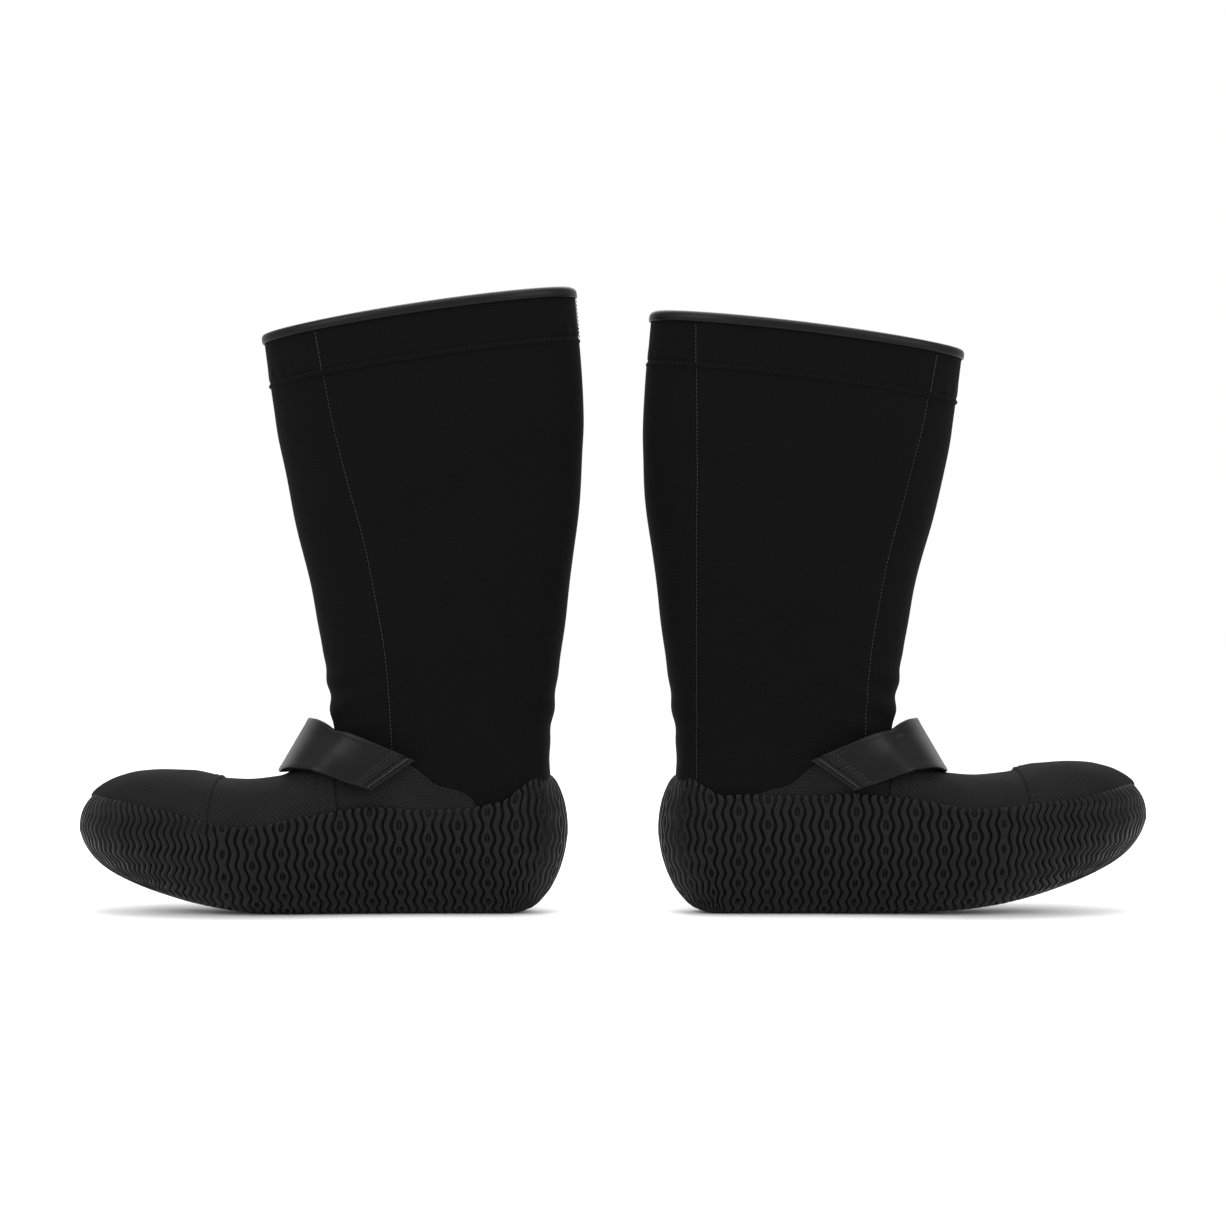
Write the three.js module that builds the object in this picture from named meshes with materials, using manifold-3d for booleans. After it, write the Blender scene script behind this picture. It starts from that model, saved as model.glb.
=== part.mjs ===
// A pair of knee-high neoprene boots with moulded rubber soles and an instep strap.
// Millimetres, +Z up. The pair stands on z = 0 heel to heel: the left boot's toe points to -X and
// the right boot's toe to +X, so both boots turn their outer (lateral) side to -Y.
//
// Each boot is drawn in its own frame: x runs forward from the back of the heel, -y is the lateral
// side and z is up. The left boot is the mirror image of the right one.

import * as THREE from "three";
import { mergeVertices } from "three/addons/utils/BufferGeometryUtils.js";
import Module from "manifold-3d";

const wasm = await Module();
wasm.setup();

// ---------------------------------------------------------------- driving dimensions

const SOLE_LENGTH = 290; // back of the heel rubber to the tip of the toe rubber
const HEEL_GAP = 53.2; // between the two heels, as the pair stands
const HEEL_WIDTH = 76;
const WAIST_WIDTH = 78;
const BALL_WIDTH = 106;
const TOE_WIDTH = 96;
const HEEL_RADIUS = 38; // plan radius of the back of the heel
const TOE_RADIUS = 66; // length over which the plan rounds in to the toe

const RUBBER_WALL = 3.2; // side wall of the moulded sole
const SOLE_THICKNESS = 7; // rubber under the foot
const WIDEST_HEIGHT = 46; // height at which the sole is widest
const FLAT_SHARE = 0.45; // flat part of the sole's underside, as a share of its width

const NEOPRENE = 5; // thickness of the foam rubber cloth
const BOARD = 3.5; // lasting board under the foot
const FOOTBED = 4.5; // loose insole
const GAP = 0.3; // clearance between pieces that touch

const SHAFT_WIDTH = 76; // across the calf
const CUFF_HEIGHT = 25; // stitched band under the top binding
const BINDING_HEIGHT = 6;
const BINDING_TAPE = 1.2; // thickness of the binding tape
const SHAFT_FOOT = 150; // height of the lower edge of the shaft panels
const FLEX_FOOT = 118; // height of the lower edge of the band that bends at the ankle

const WEBBING = 2.5; // strap thickness
const PATCH = 1.6; // thickness of a hook or loop patch
const TAB = 2; // thickness of the tab that carries the loop patch
const ARCH_LIFT = 4; // extra height of the strap where it arches over the instep
const SPLIT = 1; // the strap's fold line lies this far to the lateral side of the ridge

const RING = 16; // points round a section of the foot or the sole
const SHAFT_RING = 16; // points round a section of the shaft
const REACH = 200; // half the width of a cutting slab, wider than the boot

// What differs between the two boots as they stand: the soft shafts have settled and twisted
// differently, so their seams lie further forward or back. The right back seam shows at the side.
const LEFT = { name: "left", topFront: 342, topBack: 368, toeLift: 0, rimLift: 0, seam: -9, backSeam: -40 };
const RIGHT = { name: "right", topFront: 333, topBack: 354, toeLift: 7, rimLift: 8, seam: 9, backSeam: 22 };

// ---------------------------------------------------------------- materials

const finish = (color, roughness) => new THREE.MeshStandardMaterial({ color, roughness, metalness: 0 });
const NEOPRENE_CLOTH = finish(0x161616, 0.95);
const WOVEN_CLOTH = finish(0x242424, 0.8);
const RUBBER = finish(0x202020, 0.6);
const SATIN_TAPE = finish(0x1e1e1e, 0.4);
const HOOK_AND_LOOP = finish(0x121212, 1);
const FELT = finish(0x2a2a2a, 1);

// ---------------------------------------------------------------- curves

// A smooth line through points [x, value], with no overshoot between them.
function lineThrough(points) {
  const slope = (i) => {
    if (i === 0 || i === points.length - 1) return 0;
    const before = (points[i][1] - points[i - 1][1]) / (points[i][0] - points[i - 1][0]);
    const after = (points[i + 1][1] - points[i][1]) / (points[i + 1][0] - points[i][0]);
    return before * after > 0 ? (2 * before * after) / (before + after) : 0;
  };
  const slopes = points.map((_, i) => slope(i));
  const last = points.length - 1;
  slopes[0] = (points[1][1] - points[0][1]) / (points[1][0] - points[0][0]);
  slopes[last] = (points[last][1] - points[last - 1][1]) / (points[last][0] - points[last - 1][0]);
  return (x) => {
    if (x <= points[0][0]) return points[0][1];
    if (x >= points[last][0]) return points[last][1];
    const i = points.findIndex((p) => p[0] > x) - 1;
    const span = points[i + 1][0] - points[i][0];
    const t = (x - points[i][0]) / span;
    const a = points[i][1];
    const b = points[i + 1][1];
    const blend = t * t * (3 - 2 * t);
    const tangentA = t * (1 - t) ** 2 * slopes[i] * span;
    const tangentB = -t * t * (1 - t) * slopes[i + 1] * span;
    return a + (b - a) * blend + tangentA + tangentB;
  };
}

// Lines along the foot are set out on a sole 290 long and stretch with the sole.
const DRAWN_LENGTH = 290;
const alongSole = (points) => {
  const line = lineThrough(points);
  return (x) => line((x * DRAWN_LENGTH) / SOLE_LENGTH);
};

// Underside of the sole: the heel rounds up, the tread lies flat, and the toe springs up.
const underside = alongSole([
  [0, 47], [1.5, 37], [5, 25], [12, 12], [22, 3], [34, 0], [172, 0],
  [194, 1.6], [217, 5.5], [241, 12], [262, 20], [276, 28], [286, 39], [290, 50],
]);
// Top edge of the rubber side wall.
const rim = alongSole([
  [0, 61], [3, 72], [8, 79], [15, 81], [25, 76.5], [38, 68], [62, 64], [85, 63.5], [111, 65],
  [149, 60.5], [186, 54], [199, 55], [224, 61], [240, 64], [262, 68], [276, 70], [284, 68], [290, 57],
]);
// Top of the foot: over the heel it lies inside the shaft.
const footTop = alongSole([
  [0, 64], [4, 76], [10, 85], [20, 94], [40, 104], [105, 112], [124, 116], [138, 108],
  [149, 96], [160, 85], [171, 79.5], [190, 78], [208, 79], [226, 82], [242, 82.5], [256, 81],
  [268, 77.5], [279, 71], [286, 64], [290, 57],
]);
// The sole's centre line leans to the inner side at the toe.
const centre = alongSole([[0, 0], [75, 0], [150, -2], [205, 0], [290, 9]]);
const halfWidth = alongSole([
  [0, HEEL_WIDTH / 2], [60, HEEL_WIDTH / 2], [110, WAIST_WIDTH / 2], [200, BALL_WIDTH / 2],
  [240, TOE_WIDTH / 2], [290, TOE_WIDTH / 2],
]);

// Share of the full width that the rounded ends of the plan leave at x.
function planRound(x) {
  const heel = Math.max(0, (HEEL_RADIUS - x) / HEEL_RADIUS);
  const toe = Math.max(0, (x - SOLE_LENGTH + TOE_RADIUS) / TOE_RADIUS);
  return Math.max(0.05, Math.sqrt(1 - Math.min(1, heel ** 2)) * (1 - Math.min(1, toe ** 2.3)) ** 0.45);
}

const soleHalf = (x) => halfWidth(x) * planRound(x);
// How far the toe is lifted, and the side wall raised, on a given boot.
const TOE_LIFT_FROM = 120;
const toeRise = (boot, x) => boot.toeLift * Math.max(0, (x - TOE_LIFT_FROM) / (SOLE_LENGTH - TOE_LIFT_FROM)) ** 1.1;
const wallRise = (boot, x) => boot.rimLift * THREE.MathUtils.smoothstep(x, 20, 60) *
  (1 - THREE.MathUtils.smoothstep(x, 190, 250));

const soleLow = (boot, x) => underside(x) + toeRise(boot, x);
const rimHeight = (boot, x) => rim(x) + toeRise(boot, x) + wallRise(boot, x);
const topHeight = (boot, x) => footTop(x) + toeRise(boot, x);
const widest = (boot, x) => Math.min(WIDEST_HEIGHT + toeRise(boot, x), rimHeight(boot, x) - 8);

// Places along the foot where sections are drawn: close together at the rounded ends.
const STATIONS = [0, 0.008, 0.03, 0.07, 0.13, 0.26, 0.4, 0.475, 0.535, 0.59, 0.66, 0.73, 0.81, 0.88, 0.935, 0.975, 1]
  .map((share) => share * SOLE_LENGTH);

// ---------------------------------------------------------------- solids

// One closed solid from a geometry whose faces may point either way.
function solidOf(geometry) {
  const bare = new THREE.BufferGeometry();
  const plain = geometry.index ? geometry.toNonIndexed() : geometry;
  bare.setAttribute("position", plain.getAttribute("position"));
  const merged = mergeVertices(bare, 1e-3);
  const position = merged.attributes.position.array;
  const triVerts = new Uint32Array(merged.index.array);
  const corner = (i) => new THREE.Vector3().fromArray(position, triVerts[i] * 3);
  let volume = 0;
  for (let i = 0; i < triVerts.length; i += 3) {
    volume += corner(i).dot(corner(i + 1).cross(corner(i + 2)));
  }
  if (volume < 0) {
    for (let i = 0; i < triVerts.length; i += 3) {
      [triVerts[i + 1], triVerts[i + 2]] = [triVerts[i + 2], triVerts[i + 1]];
    }
  }
  return new wasm.Manifold(new wasm.Mesh({ numProp: 3, vertProperties: position, triVerts }));
}

// A solid lofted through closed rings of equally many points, with flat ends.
function loft(rings) {
  const around = rings[0].length;
  const triangles = [];
  for (let r = 0; r + 1 < rings.length; r += 1) {
    for (let i = 0; i < around; i += 1) {
      const next = (i + 1) % around;
      const [a, b, c, d] = [rings[r][i], rings[r][next], rings[r + 1][next], rings[r + 1][i]];
      triangles.push(a, b, c, a, c, d);
    }
  }
  const close = (ring, turned) => {
    const middle = ring.reduce((sum, p) => sum.add(p), new THREE.Vector3()).divideScalar(around);
    for (let i = 0; i < around; i += 1) {
      const next = (i + 1) % around;
      triangles.push(middle, ...(turned ? [ring[next], ring[i]] : [ring[i], ring[next]]));
    }
  };
  close(rings[0], true);
  close(rings[rings.length - 1], false);
  return solidOf(new THREE.BufferGeometry().setFromPoints(triangles));
}

// A cutting slab: an outline in the side view (x, z), reaching across y from one value to another.
function slab(outline, yFrom = -REACH, yTo = REACH) {
  const shape = new THREE.Shape(outline.map(([x, z]) => new THREE.Vector2(x, z)));
  const geometry = new THREE.ExtrudeGeometry(shape, { depth: yTo - yFrom, bevelEnabled: false });
  geometry.rotateX(Math.PI / 2);
  geometry.translate(0, yTo, 0);
  return solidOf(geometry);
}

// The same slab under a line of heights, or above it, over a stretch of x.
const STRIP_STEPS = 15;
function strip(low, high, from = -60, to = SOLE_LENGTH + 30) {
  const places = Array.from({ length: STRIP_STEPS + 1 }, (_, i) => from + ((to - from) * i) / STRIP_STEPS);
  return slab([...places.map((x) => [x, low(x)]), ...places.reverse().map((x) => [x, high(x)])]);
}

// Half of a section: points from the bottom up to the top on one side, each [share of width, z].
const QUARTER = RING / 4;
const LOW_POWER = 2.1;
const HIGH_POWER = 2.5;
function sideProfile(low, wide, high) {
  const profile = [];
  for (let i = 0; i <= QUARTER; i += 1) {
    const down = Math.cos((i / QUARTER) * (Math.PI / 2)) ** 1.2;
    const across = (1 - down ** LOW_POWER) ** (1 / LOW_POWER);
    profile.push([FLAT_SHARE + (1 - FLAT_SHARE) * across, wide - (wide - low) * down]);
  }
  for (let i = 1; i <= QUARTER; i += 1) {
    const up = Math.sin((i / QUARTER) * (Math.PI / 2));
    profile.push([Math.max(0.04, (1 - up ** HIGH_POWER) ** (1 / HIGH_POWER)), wide + (high - wide) * up]);
  }
  return profile;
}

function ringAt(x, middle, half, profile) {
  const side = (sign) => profile.map(([share, z]) => new THREE.Vector3(x, middle + sign * half * share, z));
  return [...side(1), ...side(-1).reverse()];
}

// The volume of the foot: what the upper's outer skin encloses, grown or shrunk by some millimetres.
function footVolume(boot, { side = 0, top = side, bottom = 0 } = {}) {
  const inset = RUBBER_WALL - side;
  return loft(STATIONS.map((x) => {
    const low = soleLow(boot, x) + SOLE_THICKNESS - bottom;
    const high = Math.max(topHeight(boot, x) + top, low + 2);
    const wide = Math.min(Math.max(widest(boot, x), low + 1), high - 1);
    const placed = inset + (x * (SOLE_LENGTH - 2 * inset)) / SOLE_LENGTH;
    return ringAt(placed, centre(x), Math.max(1, soleHalf(x) - inset), sideProfile(low, wide, high));
  }));
}

// The volume of the whole rubber sole up to its top edge.
function soleVolume(boot) {
  return loft(STATIONS.map((x) => {
    const low = soleLow(boot, x);
    const high = rimHeight(boot, x);
    const wide = Math.max(widest(boot, x), low + 2);
    const profile = sideProfile(low, wide, high).slice(0, QUARTER + 1);
    profile.push([1, (wide + high) / 2], [0.985, high]);
    return ringAt(x, centre(x), soleHalf(x), profile);
  }));
}

// The shaft's side view as levels from below: back point, front point and half width.
function shaftLevels(boot) {
  const top = (lift) => ({
    back: [-3.5, boot.topBack + lift],
    front: [180 + lift * 0.2, boot.topFront + lift],
    half: SHAFT_WIDTH / 2,
  });
  const middle = (boot.topBack + boot.topFront) / 2;
  return [
    { back: [14, 46], front: [126, 62], half: SHAFT_WIDTH / 2 - 9 },
    { back: [9.5, 70], front: [134, 92], half: SHAFT_WIDTH / 2 - 5 },
    { back: [10.7, 94], front: [139, 112], half: SHAFT_WIDTH / 2 - 4 },
    { back: [8.3, 120], front: [141.5, 130], half: SHAFT_WIDTH / 2 - 3 },
    { back: [4.6, SHAFT_FOOT], front: [144.5, SHAFT_FOOT], half: SHAFT_WIDTH / 2 - 2 },
    { back: [-3.6, 212], front: [156, 211], half: SHAFT_WIDTH / 2 - 1 },
    { back: [-9.2, middle - 72], front: [171, middle - 76], half: SHAFT_WIDTH / 2 },
    top(0),
    top(25),
  ];
}

const LEVEL_STEPS = 8;
const SHAFT_POWER = 2.3;
function shaftVolume(boot, grow = 0) {
  const levels = shaftLevels(boot);
  const path = (pick) => new THREE.SplineCurve(levels.map((level) => new THREE.Vector2(...pick(level))));
  const back = path((level) => level.back);
  const front = path((level) => level.front);
  const half = path((level) => [level.half, 0]);
  const rings = [];
  for (let k = 0; k <= LEVEL_STEPS; k += 1) {
    const t = k / LEVEL_STEPS;
    const b = back.getPoint(t);
    const f = front.getPoint(t);
    const along = f.clone().sub(b);
    const middle = b.clone().add(f).multiplyScalar(0.5);
    const length = along.length() / 2 + grow;
    along.normalize();
    const ring = [];
    for (let i = 0; i < SHAFT_RING; i += 1) {
      const angle = (i / SHAFT_RING) * Math.PI * 2;
      const round = (v) => Math.sign(v) * Math.abs(v) ** (2 / SHAFT_POWER);
      const forward = length * round(Math.cos(angle));
      const out = (half.getPoint(t).x + grow) * round(Math.sin(angle));
      ring.push(new THREE.Vector3(middle.x + along.x * forward, out, middle.y + along.y * forward));
    }
    rings.push(ring);
  }
  return loft(rings);
}

// Everything inside a skin that lies a given distance outside the upper's outer face.
const skin = (boot, grow) => footVolume(boot, { side: grow }).add(shaftVolume(boot, grow));

// ---------------------------------------------------------------- seams, in the side view

const onSole = (x) => (x * SOLE_LENGTH) / DRAWN_LENGTH;

// Front side seam of the shaft, from the cuff down to the instep.
const frontSeam = (boot) => lineThrough([
  [100, 111 + boot.seam], [144, 114 + boot.seam], [212, 126 + boot.seam], [290, 146 + boot.seam],
  [400, 168 + boot.seam],
]);
// The shaft's top edge and the lines parallel to it.
function topEdge(boot, down) {
  const slope = (boot.topFront - boot.topBack) / 183.5;
  return (x) => boot.topBack + slope * (x + 3.5) - down;
}
// The seam between toe cap and vamp, and the vamp's rear edge, both as x at a height.
const toeSeam = (boot) => lineThrough([
  [0, onSole(214)], [58, onSole(212)], [80 + boot.toeLift, onSole(205)], [120, onSole(203)],
]);
const vampEdge = () => lineThrough([[0, onSole(132)], [64, onSole(132)], [90, onSole(137)], [125, onSole(143)]]);
// The upper edge of the reinforced side panel behind the vamp.
const quarterTop = alongSole([[50, 58], [56, 71], [75, 76], [88, 87], [105, 99], [125, 106], [150, 110]]);
const QUARTER_BACK = 52;

// Slab in front of, or behind, a seam that gives x at each height.
const SEAM_STEPS = 6;
function beside(seam, forward, shift, low = -20, high = 420) {
  const heights = Array.from({ length: SEAM_STEPS + 1 }, (_, i) => low + ((high - low) * i) / SEAM_STEPS);
  const far = forward ? 400 : -150;
  return slab([...heights.map((z) => [seam(z) + shift, z]), [far, high], [far, low]]);
}

const below = (height) => strip(() => -40, height);
const above = (height) => strip(height, () => 460);
// The whole side view, and the two halves of a boot on either side of its middle plane.
const WHOLE_SIDE = [[-150, -40], [400, -40], [400, 460], [-150, 460]];
const LATERAL = slab(WHOLE_SIDE, -REACH, -GAP / 2);
const MEDIAL = slab(WHOLE_SIDE, GAP / 2, REACH);

// ---------------------------------------------------------------- the pieces of one boot

function underfoot(boot, from, to) {
  return strip((x) => soleLow(boot, x) + SOLE_THICKNESS + from, (x) => soleLow(boot, x) + SOLE_THICKNESS + to, 0);
}

function soleParts(boot) {
  const outsole = soleVolume(boot).subtract(skin(boot, GAP)).subtract(footVolume(boot, { side: GAP, bottom: GAP }));
  const board = footVolume(boot).intersect(underfoot(boot, -20, BOARD));
  const inside = footVolume(boot, { side: -NEOPRENE - GAP });
  const footbed = inside.intersect(underfoot(boot, BOARD + GAP, BOARD + GAP + FOOTBED));
  return { outsole, board, footbed };
}

function upperShell(boot) {
  const hollow = footVolume(boot, { side: -NEOPRENE }).add(shaftVolume(boot, -NEOPRENE));
  return skin(boot, 0).subtract(hollow).subtract(underfoot(boot, -30, BOARD + GAP));
}

function footParts(boot, shell) {
  const foot = shell.intersect(below(() => FLEX_FOOT - GAP));
  const toe = foot.intersect(beside(toeSeam(boot), true, GAP / 2));
  const vamp = foot.intersect(beside(toeSeam(boot), false, -GAP / 2)).intersect(beside(vampEdge(), true, GAP / 2));
  const rear = foot.intersect(beside(vampEdge(), false, -GAP / 2));
  const quarterX = () => onSole(QUARTER_BACK);
  const quarters = rear.intersect(beside(quarterX, true, GAP / 2)).intersect(below(quarterTop));
  const heel = rear.subtract(beside(quarterX, true, -GAP / 2).intersect(below((x) => quarterTop(x) + GAP)));
  return { toe, vamp, quarterLateral: quarters.intersect(LATERAL), quarterMedial: quarters.intersect(MEDIAL), heel };
}

function shaftParts(boot, shell) {
  const edge = BINDING_TAPE + GAP;
  const cuffFoot = edge + BINDING_HEIGHT + CUFF_HEIGHT;
  const seam = frontSeam(boot);
  const flex = shell.intersect(above(() => FLEX_FOOT)).intersect(below(() => SHAFT_FOOT - GAP));
  const shaft = shell.intersect(above(() => SHAFT_FOOT)).intersect(below(topEdge(boot, cuffFoot + GAP)));
  const shin = shaft.intersect(beside(seam, true, GAP / 2));
  const rest = shaft.intersect(beside(seam, false, -GAP / 2));
  const backSeam = () => boot.backSeam;
  const lateral = rest.intersect(LATERAL).intersect(beside(backSeam, true, GAP / 2));
  const medial = rest.subtract(slab(WHOLE_SIDE, -REACH, GAP / 2).intersect(beside(backSeam, true, -GAP / 2)));
  const cuff = shell.intersect(above(topEdge(boot, cuffFoot))).intersect(below(topEdge(boot, edge)));
  const over = shaftVolume(boot, GAP + BINDING_TAPE).subtract(shaftVolume(boot, -NEOPRENE - GAP - BINDING_TAPE));
  const room = shaftVolume(boot, GAP).subtract(shaftVolume(boot, -NEOPRENE - GAP));
  const binding = over
    .intersect(above(topEdge(boot, edge + BINDING_HEIGHT)))
    .intersect(below(topEdge(boot, 0)))
    .subtract(room.intersect(below(topEdge(boot, BINDING_TAPE))));
  return { flex, shin, lateral, medial, cuff, binding };
}

// Corners of the strap in the side view, drawn on a sole 290 long.
const STRAP_END_LOW = [114.6, 73.7];
const STRAP_END_HIGH = [88.5, 92];
const STRAP_RIDGE_HIGH = [145, 115];
const STRAP_RIDGE_LOW = [169, 84.5];
const STRAP_FOOT = 6; // how far the inner anchor reaches up from the rubber edge
const ANCHOR_TOP = 14;

const pointOnSole = ([x, z]) => new THREE.Vector2(onSole(x), z);

// A four-sided piece of the strap between two shares of its run from the end edge to past the ridge.
function strapOutline(from, to, margin = 0, rearTo = to) {
  const low = pointOnSole(STRAP_END_LOW);
  const high = pointOnSole(STRAP_END_HIGH);
  const ahead = pointOnSole(STRAP_RIDGE_LOW);
  const behind = pointOnSole(STRAP_RIDGE_HIGH);
  const inLow = low.clone().lerp(high, margin);
  const inHigh = high.clone().lerp(low, margin);
  const inAhead = ahead.clone().lerp(behind, margin);
  const inBehind = behind.clone().lerp(ahead, margin);
  return [
    inLow.clone().lerp(inAhead, from), inLow.clone().lerp(inAhead, to),
    inHigh.clone().lerp(inBehind, rearTo), inHigh.clone().lerp(inBehind, from),
  ].map((p) => [p.x, p.y]);
}

const AT_RIDGE = 1.03; // where the front edge of the strap meets the ridge, as a share of its run
const PAST_RIDGE = 1.7; // where the rear edge lies clear of the instep
const between = (boot, inner, outer) => skin(boot, outer).subtract(skin(boot, inner));
// The strap follows the foot's sides and stands higher over the instep.
const archSkin = (boot, grow) => footVolume(boot, { side: grow, top: grow + ARCH_LIFT }).add(shaftVolume(boot, grow));

function strapParts(boot) {
  const tabOut = GAP + TAB;
  const loopOut = tabOut + GAP + PATCH;
  const hookOut = loopOut + GAP + PATCH;
  const strapIn = hookOut + GAP;
  const strapOut = strapIn + WEBBING;
  const clearOfRubber = above((x) => rimHeight(boot, x) + GAP);
  const outer = slab(WHOLE_SIDE, -REACH, -SPLIT - GAP / 2);
  const inner = slab(WHOLE_SIDE, -SPLIT + GAP / 2, REACH);
  const whole = archSkin(boot, strapOut).subtract(archSkin(boot, strapIn));
  const tab = between(boot, GAP, tabOut).intersect(slab(strapOutline(0.02, 0.45, 0.08))).intersect(LATERAL)
    .intersect(clearOfRubber);
  const loop = between(boot, tabOut + GAP, loopOut).intersect(slab(strapOutline(0.04, 0.4, 0.12)))
    .intersect(LATERAL).intersect(clearOfRubber);
  const hook = between(boot, loopOut + GAP, hookOut).intersect(slab(strapOutline(0.04, 0.36, 0.12)))
    .intersect(LATERAL).intersect(clearOfRubber);
  const flap = whole.intersect(slab(strapOutline(0, AT_RIDGE, 0, PAST_RIDGE))).intersect(outer).intersect(clearOfRubber);
  const band = whole.intersect(slab(strapOutline(-0.1, AT_RIDGE, 0, PAST_RIDGE))).intersect(inner)
    .intersect(above((x) => rimHeight(boot, x) + STRAP_FOOT));
  const anchor = between(boot, GAP, strapIn - GAP).intersect(slab(strapOutline(-0.1, 0.5, 0.05)))
    .intersect(MEDIAL).intersect(clearOfRubber)
    .intersect(below((x) => rimHeight(boot, x) + STRAP_FOOT + ANCHOR_TOP));
  return { tab, loop, hook, flap, band, anchor };
}

// ---------------------------------------------------------------- assembly

function meshOf(solid, name, material) {
  const mesh = solid.getMesh();
  const geometry = new THREE.BufferGeometry();
  const points = new Float32Array(mesh.numVert * 3);
  for (let i = 0; i < mesh.numVert; i += 1) {
    points.set(mesh.vertProperties.subarray(i * mesh.numProp, i * mesh.numProp + 3), i * 3);
  }
  geometry.setAttribute("position", new THREE.BufferAttribute(points, 3));
  geometry.setIndex(new THREE.BufferAttribute(mesh.triVerts, 1));
  geometry.computeVertexNormals();
  const made = new THREE.Mesh(geometry, material);
  made.name = name;
  return made;
}

// The largest body of a solid: trimming can leave crumbs of cloth past a seam.
function largest(solid) {
  return solid.decompose().reduce((a, b) => (a.volume() > b.volume() ? a : b));
}

function makeBoot(boot) {
  const shell = upperShell(boot);
  const sole = soleParts(boot);
  const foot = footParts(boot, shell);
  const shaft = shaftParts(boot, shell);
  const strap = strapParts(boot);
  const pieces = [
    ["outsole", sole.outsole, RUBBER],
    ["lasting_board", sole.board, FELT],
    ["footbed", sole.footbed, FELT],
    ["toe_cap", foot.toe, WOVEN_CLOTH],
    ["vamp", foot.vamp, WOVEN_CLOTH],
    ["quarter_lateral", foot.quarterLateral, WOVEN_CLOTH],
    ["quarter_medial", foot.quarterMedial, WOVEN_CLOTH],
    ["heel_panel", foot.heel, NEOPRENE_CLOTH],
    ["ankle_gusset", shaft.flex, NEOPRENE_CLOTH],
    ["shin_panel", shaft.shin, NEOPRENE_CLOTH],
    ["lateral_panel", shaft.lateral, NEOPRENE_CLOTH],
    ["medial_panel", shaft.medial, NEOPRENE_CLOTH],
    ["cuff_band", shaft.cuff, NEOPRENE_CLOTH],
    ["top_binding", shaft.binding, SATIN_TAPE],
    ["strap_tab", strap.tab, SATIN_TAPE],
    ["loop_patch", strap.loop, HOOK_AND_LOOP],
    ["hook_patch", strap.hook, HOOK_AND_LOOP],
    ["strap_flap", strap.flap, SATIN_TAPE],
    ["strap_band", strap.band, SATIN_TAPE],
    ["strap_anchor", strap.anchor, SATIN_TAPE],
  ];
  const group = new THREE.Group();
  for (const [name, solid, material] of pieces) {
    group.add(meshOf(largest(solid), `${boot.name}_${name}`, material));
  }
  return group;
}

const pair = new THREE.Group();
const right = makeBoot(RIGHT);
right.position.x = HEEL_GAP / 2;
const left = makeBoot(LEFT);
left.position.x = -HEEL_GAP / 2;
left.scale.x = -1;
pair.add(left, right);

// The pair's origin is the middle of its own outline on the floor.
const box = new THREE.Box3().setFromObject(pair);
for (const boot of [left, right]) {
  boot.position.x -= (box.min.x + box.max.x) / 2;
  boot.position.y -= (box.min.y + box.max.y) / 2;
}

export default pair;
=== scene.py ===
"""A pair of knee-high neoprene boots with moulded rubber soles: the finished surfaces.

Each boot is drawn in its own frame in millimetres: x runs forward from the back of the heel, -y is the
outer (lateral) side and z is up. BootForm places it in the row frame, in metres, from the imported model.
"""

import logging
import math
from dataclasses import dataclass
from enum import Enum
from typing import Callable, Optional, Sequence

import bpy
import numpy as np
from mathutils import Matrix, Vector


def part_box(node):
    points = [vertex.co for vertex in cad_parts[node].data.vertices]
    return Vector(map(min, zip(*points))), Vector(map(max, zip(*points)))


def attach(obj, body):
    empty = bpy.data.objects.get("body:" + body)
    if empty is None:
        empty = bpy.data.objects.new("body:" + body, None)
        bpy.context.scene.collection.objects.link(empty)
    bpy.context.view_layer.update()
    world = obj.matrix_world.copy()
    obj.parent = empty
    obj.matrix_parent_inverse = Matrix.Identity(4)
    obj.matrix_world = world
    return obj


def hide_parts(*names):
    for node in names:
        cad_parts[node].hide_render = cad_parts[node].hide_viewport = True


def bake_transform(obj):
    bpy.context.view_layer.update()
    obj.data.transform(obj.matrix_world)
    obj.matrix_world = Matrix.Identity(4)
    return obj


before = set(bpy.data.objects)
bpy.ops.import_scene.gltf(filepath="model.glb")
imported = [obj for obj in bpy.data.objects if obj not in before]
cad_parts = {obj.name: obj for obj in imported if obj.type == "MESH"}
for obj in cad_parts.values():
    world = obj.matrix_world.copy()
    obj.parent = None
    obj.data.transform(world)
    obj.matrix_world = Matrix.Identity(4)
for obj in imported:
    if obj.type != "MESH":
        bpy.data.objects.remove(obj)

LOG = logging.getLogger("boots")
MM = 0.001
SHAFT_AXIS = 75.0  # an upright line inside the shaft, in mm from the heel
TOP_AXIS = 84.0    # the same inside the wider top
Array = np.ndarray
Line = Callable[[Array], Array]


# ---------------------------------------------------------------- small mathematics


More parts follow.
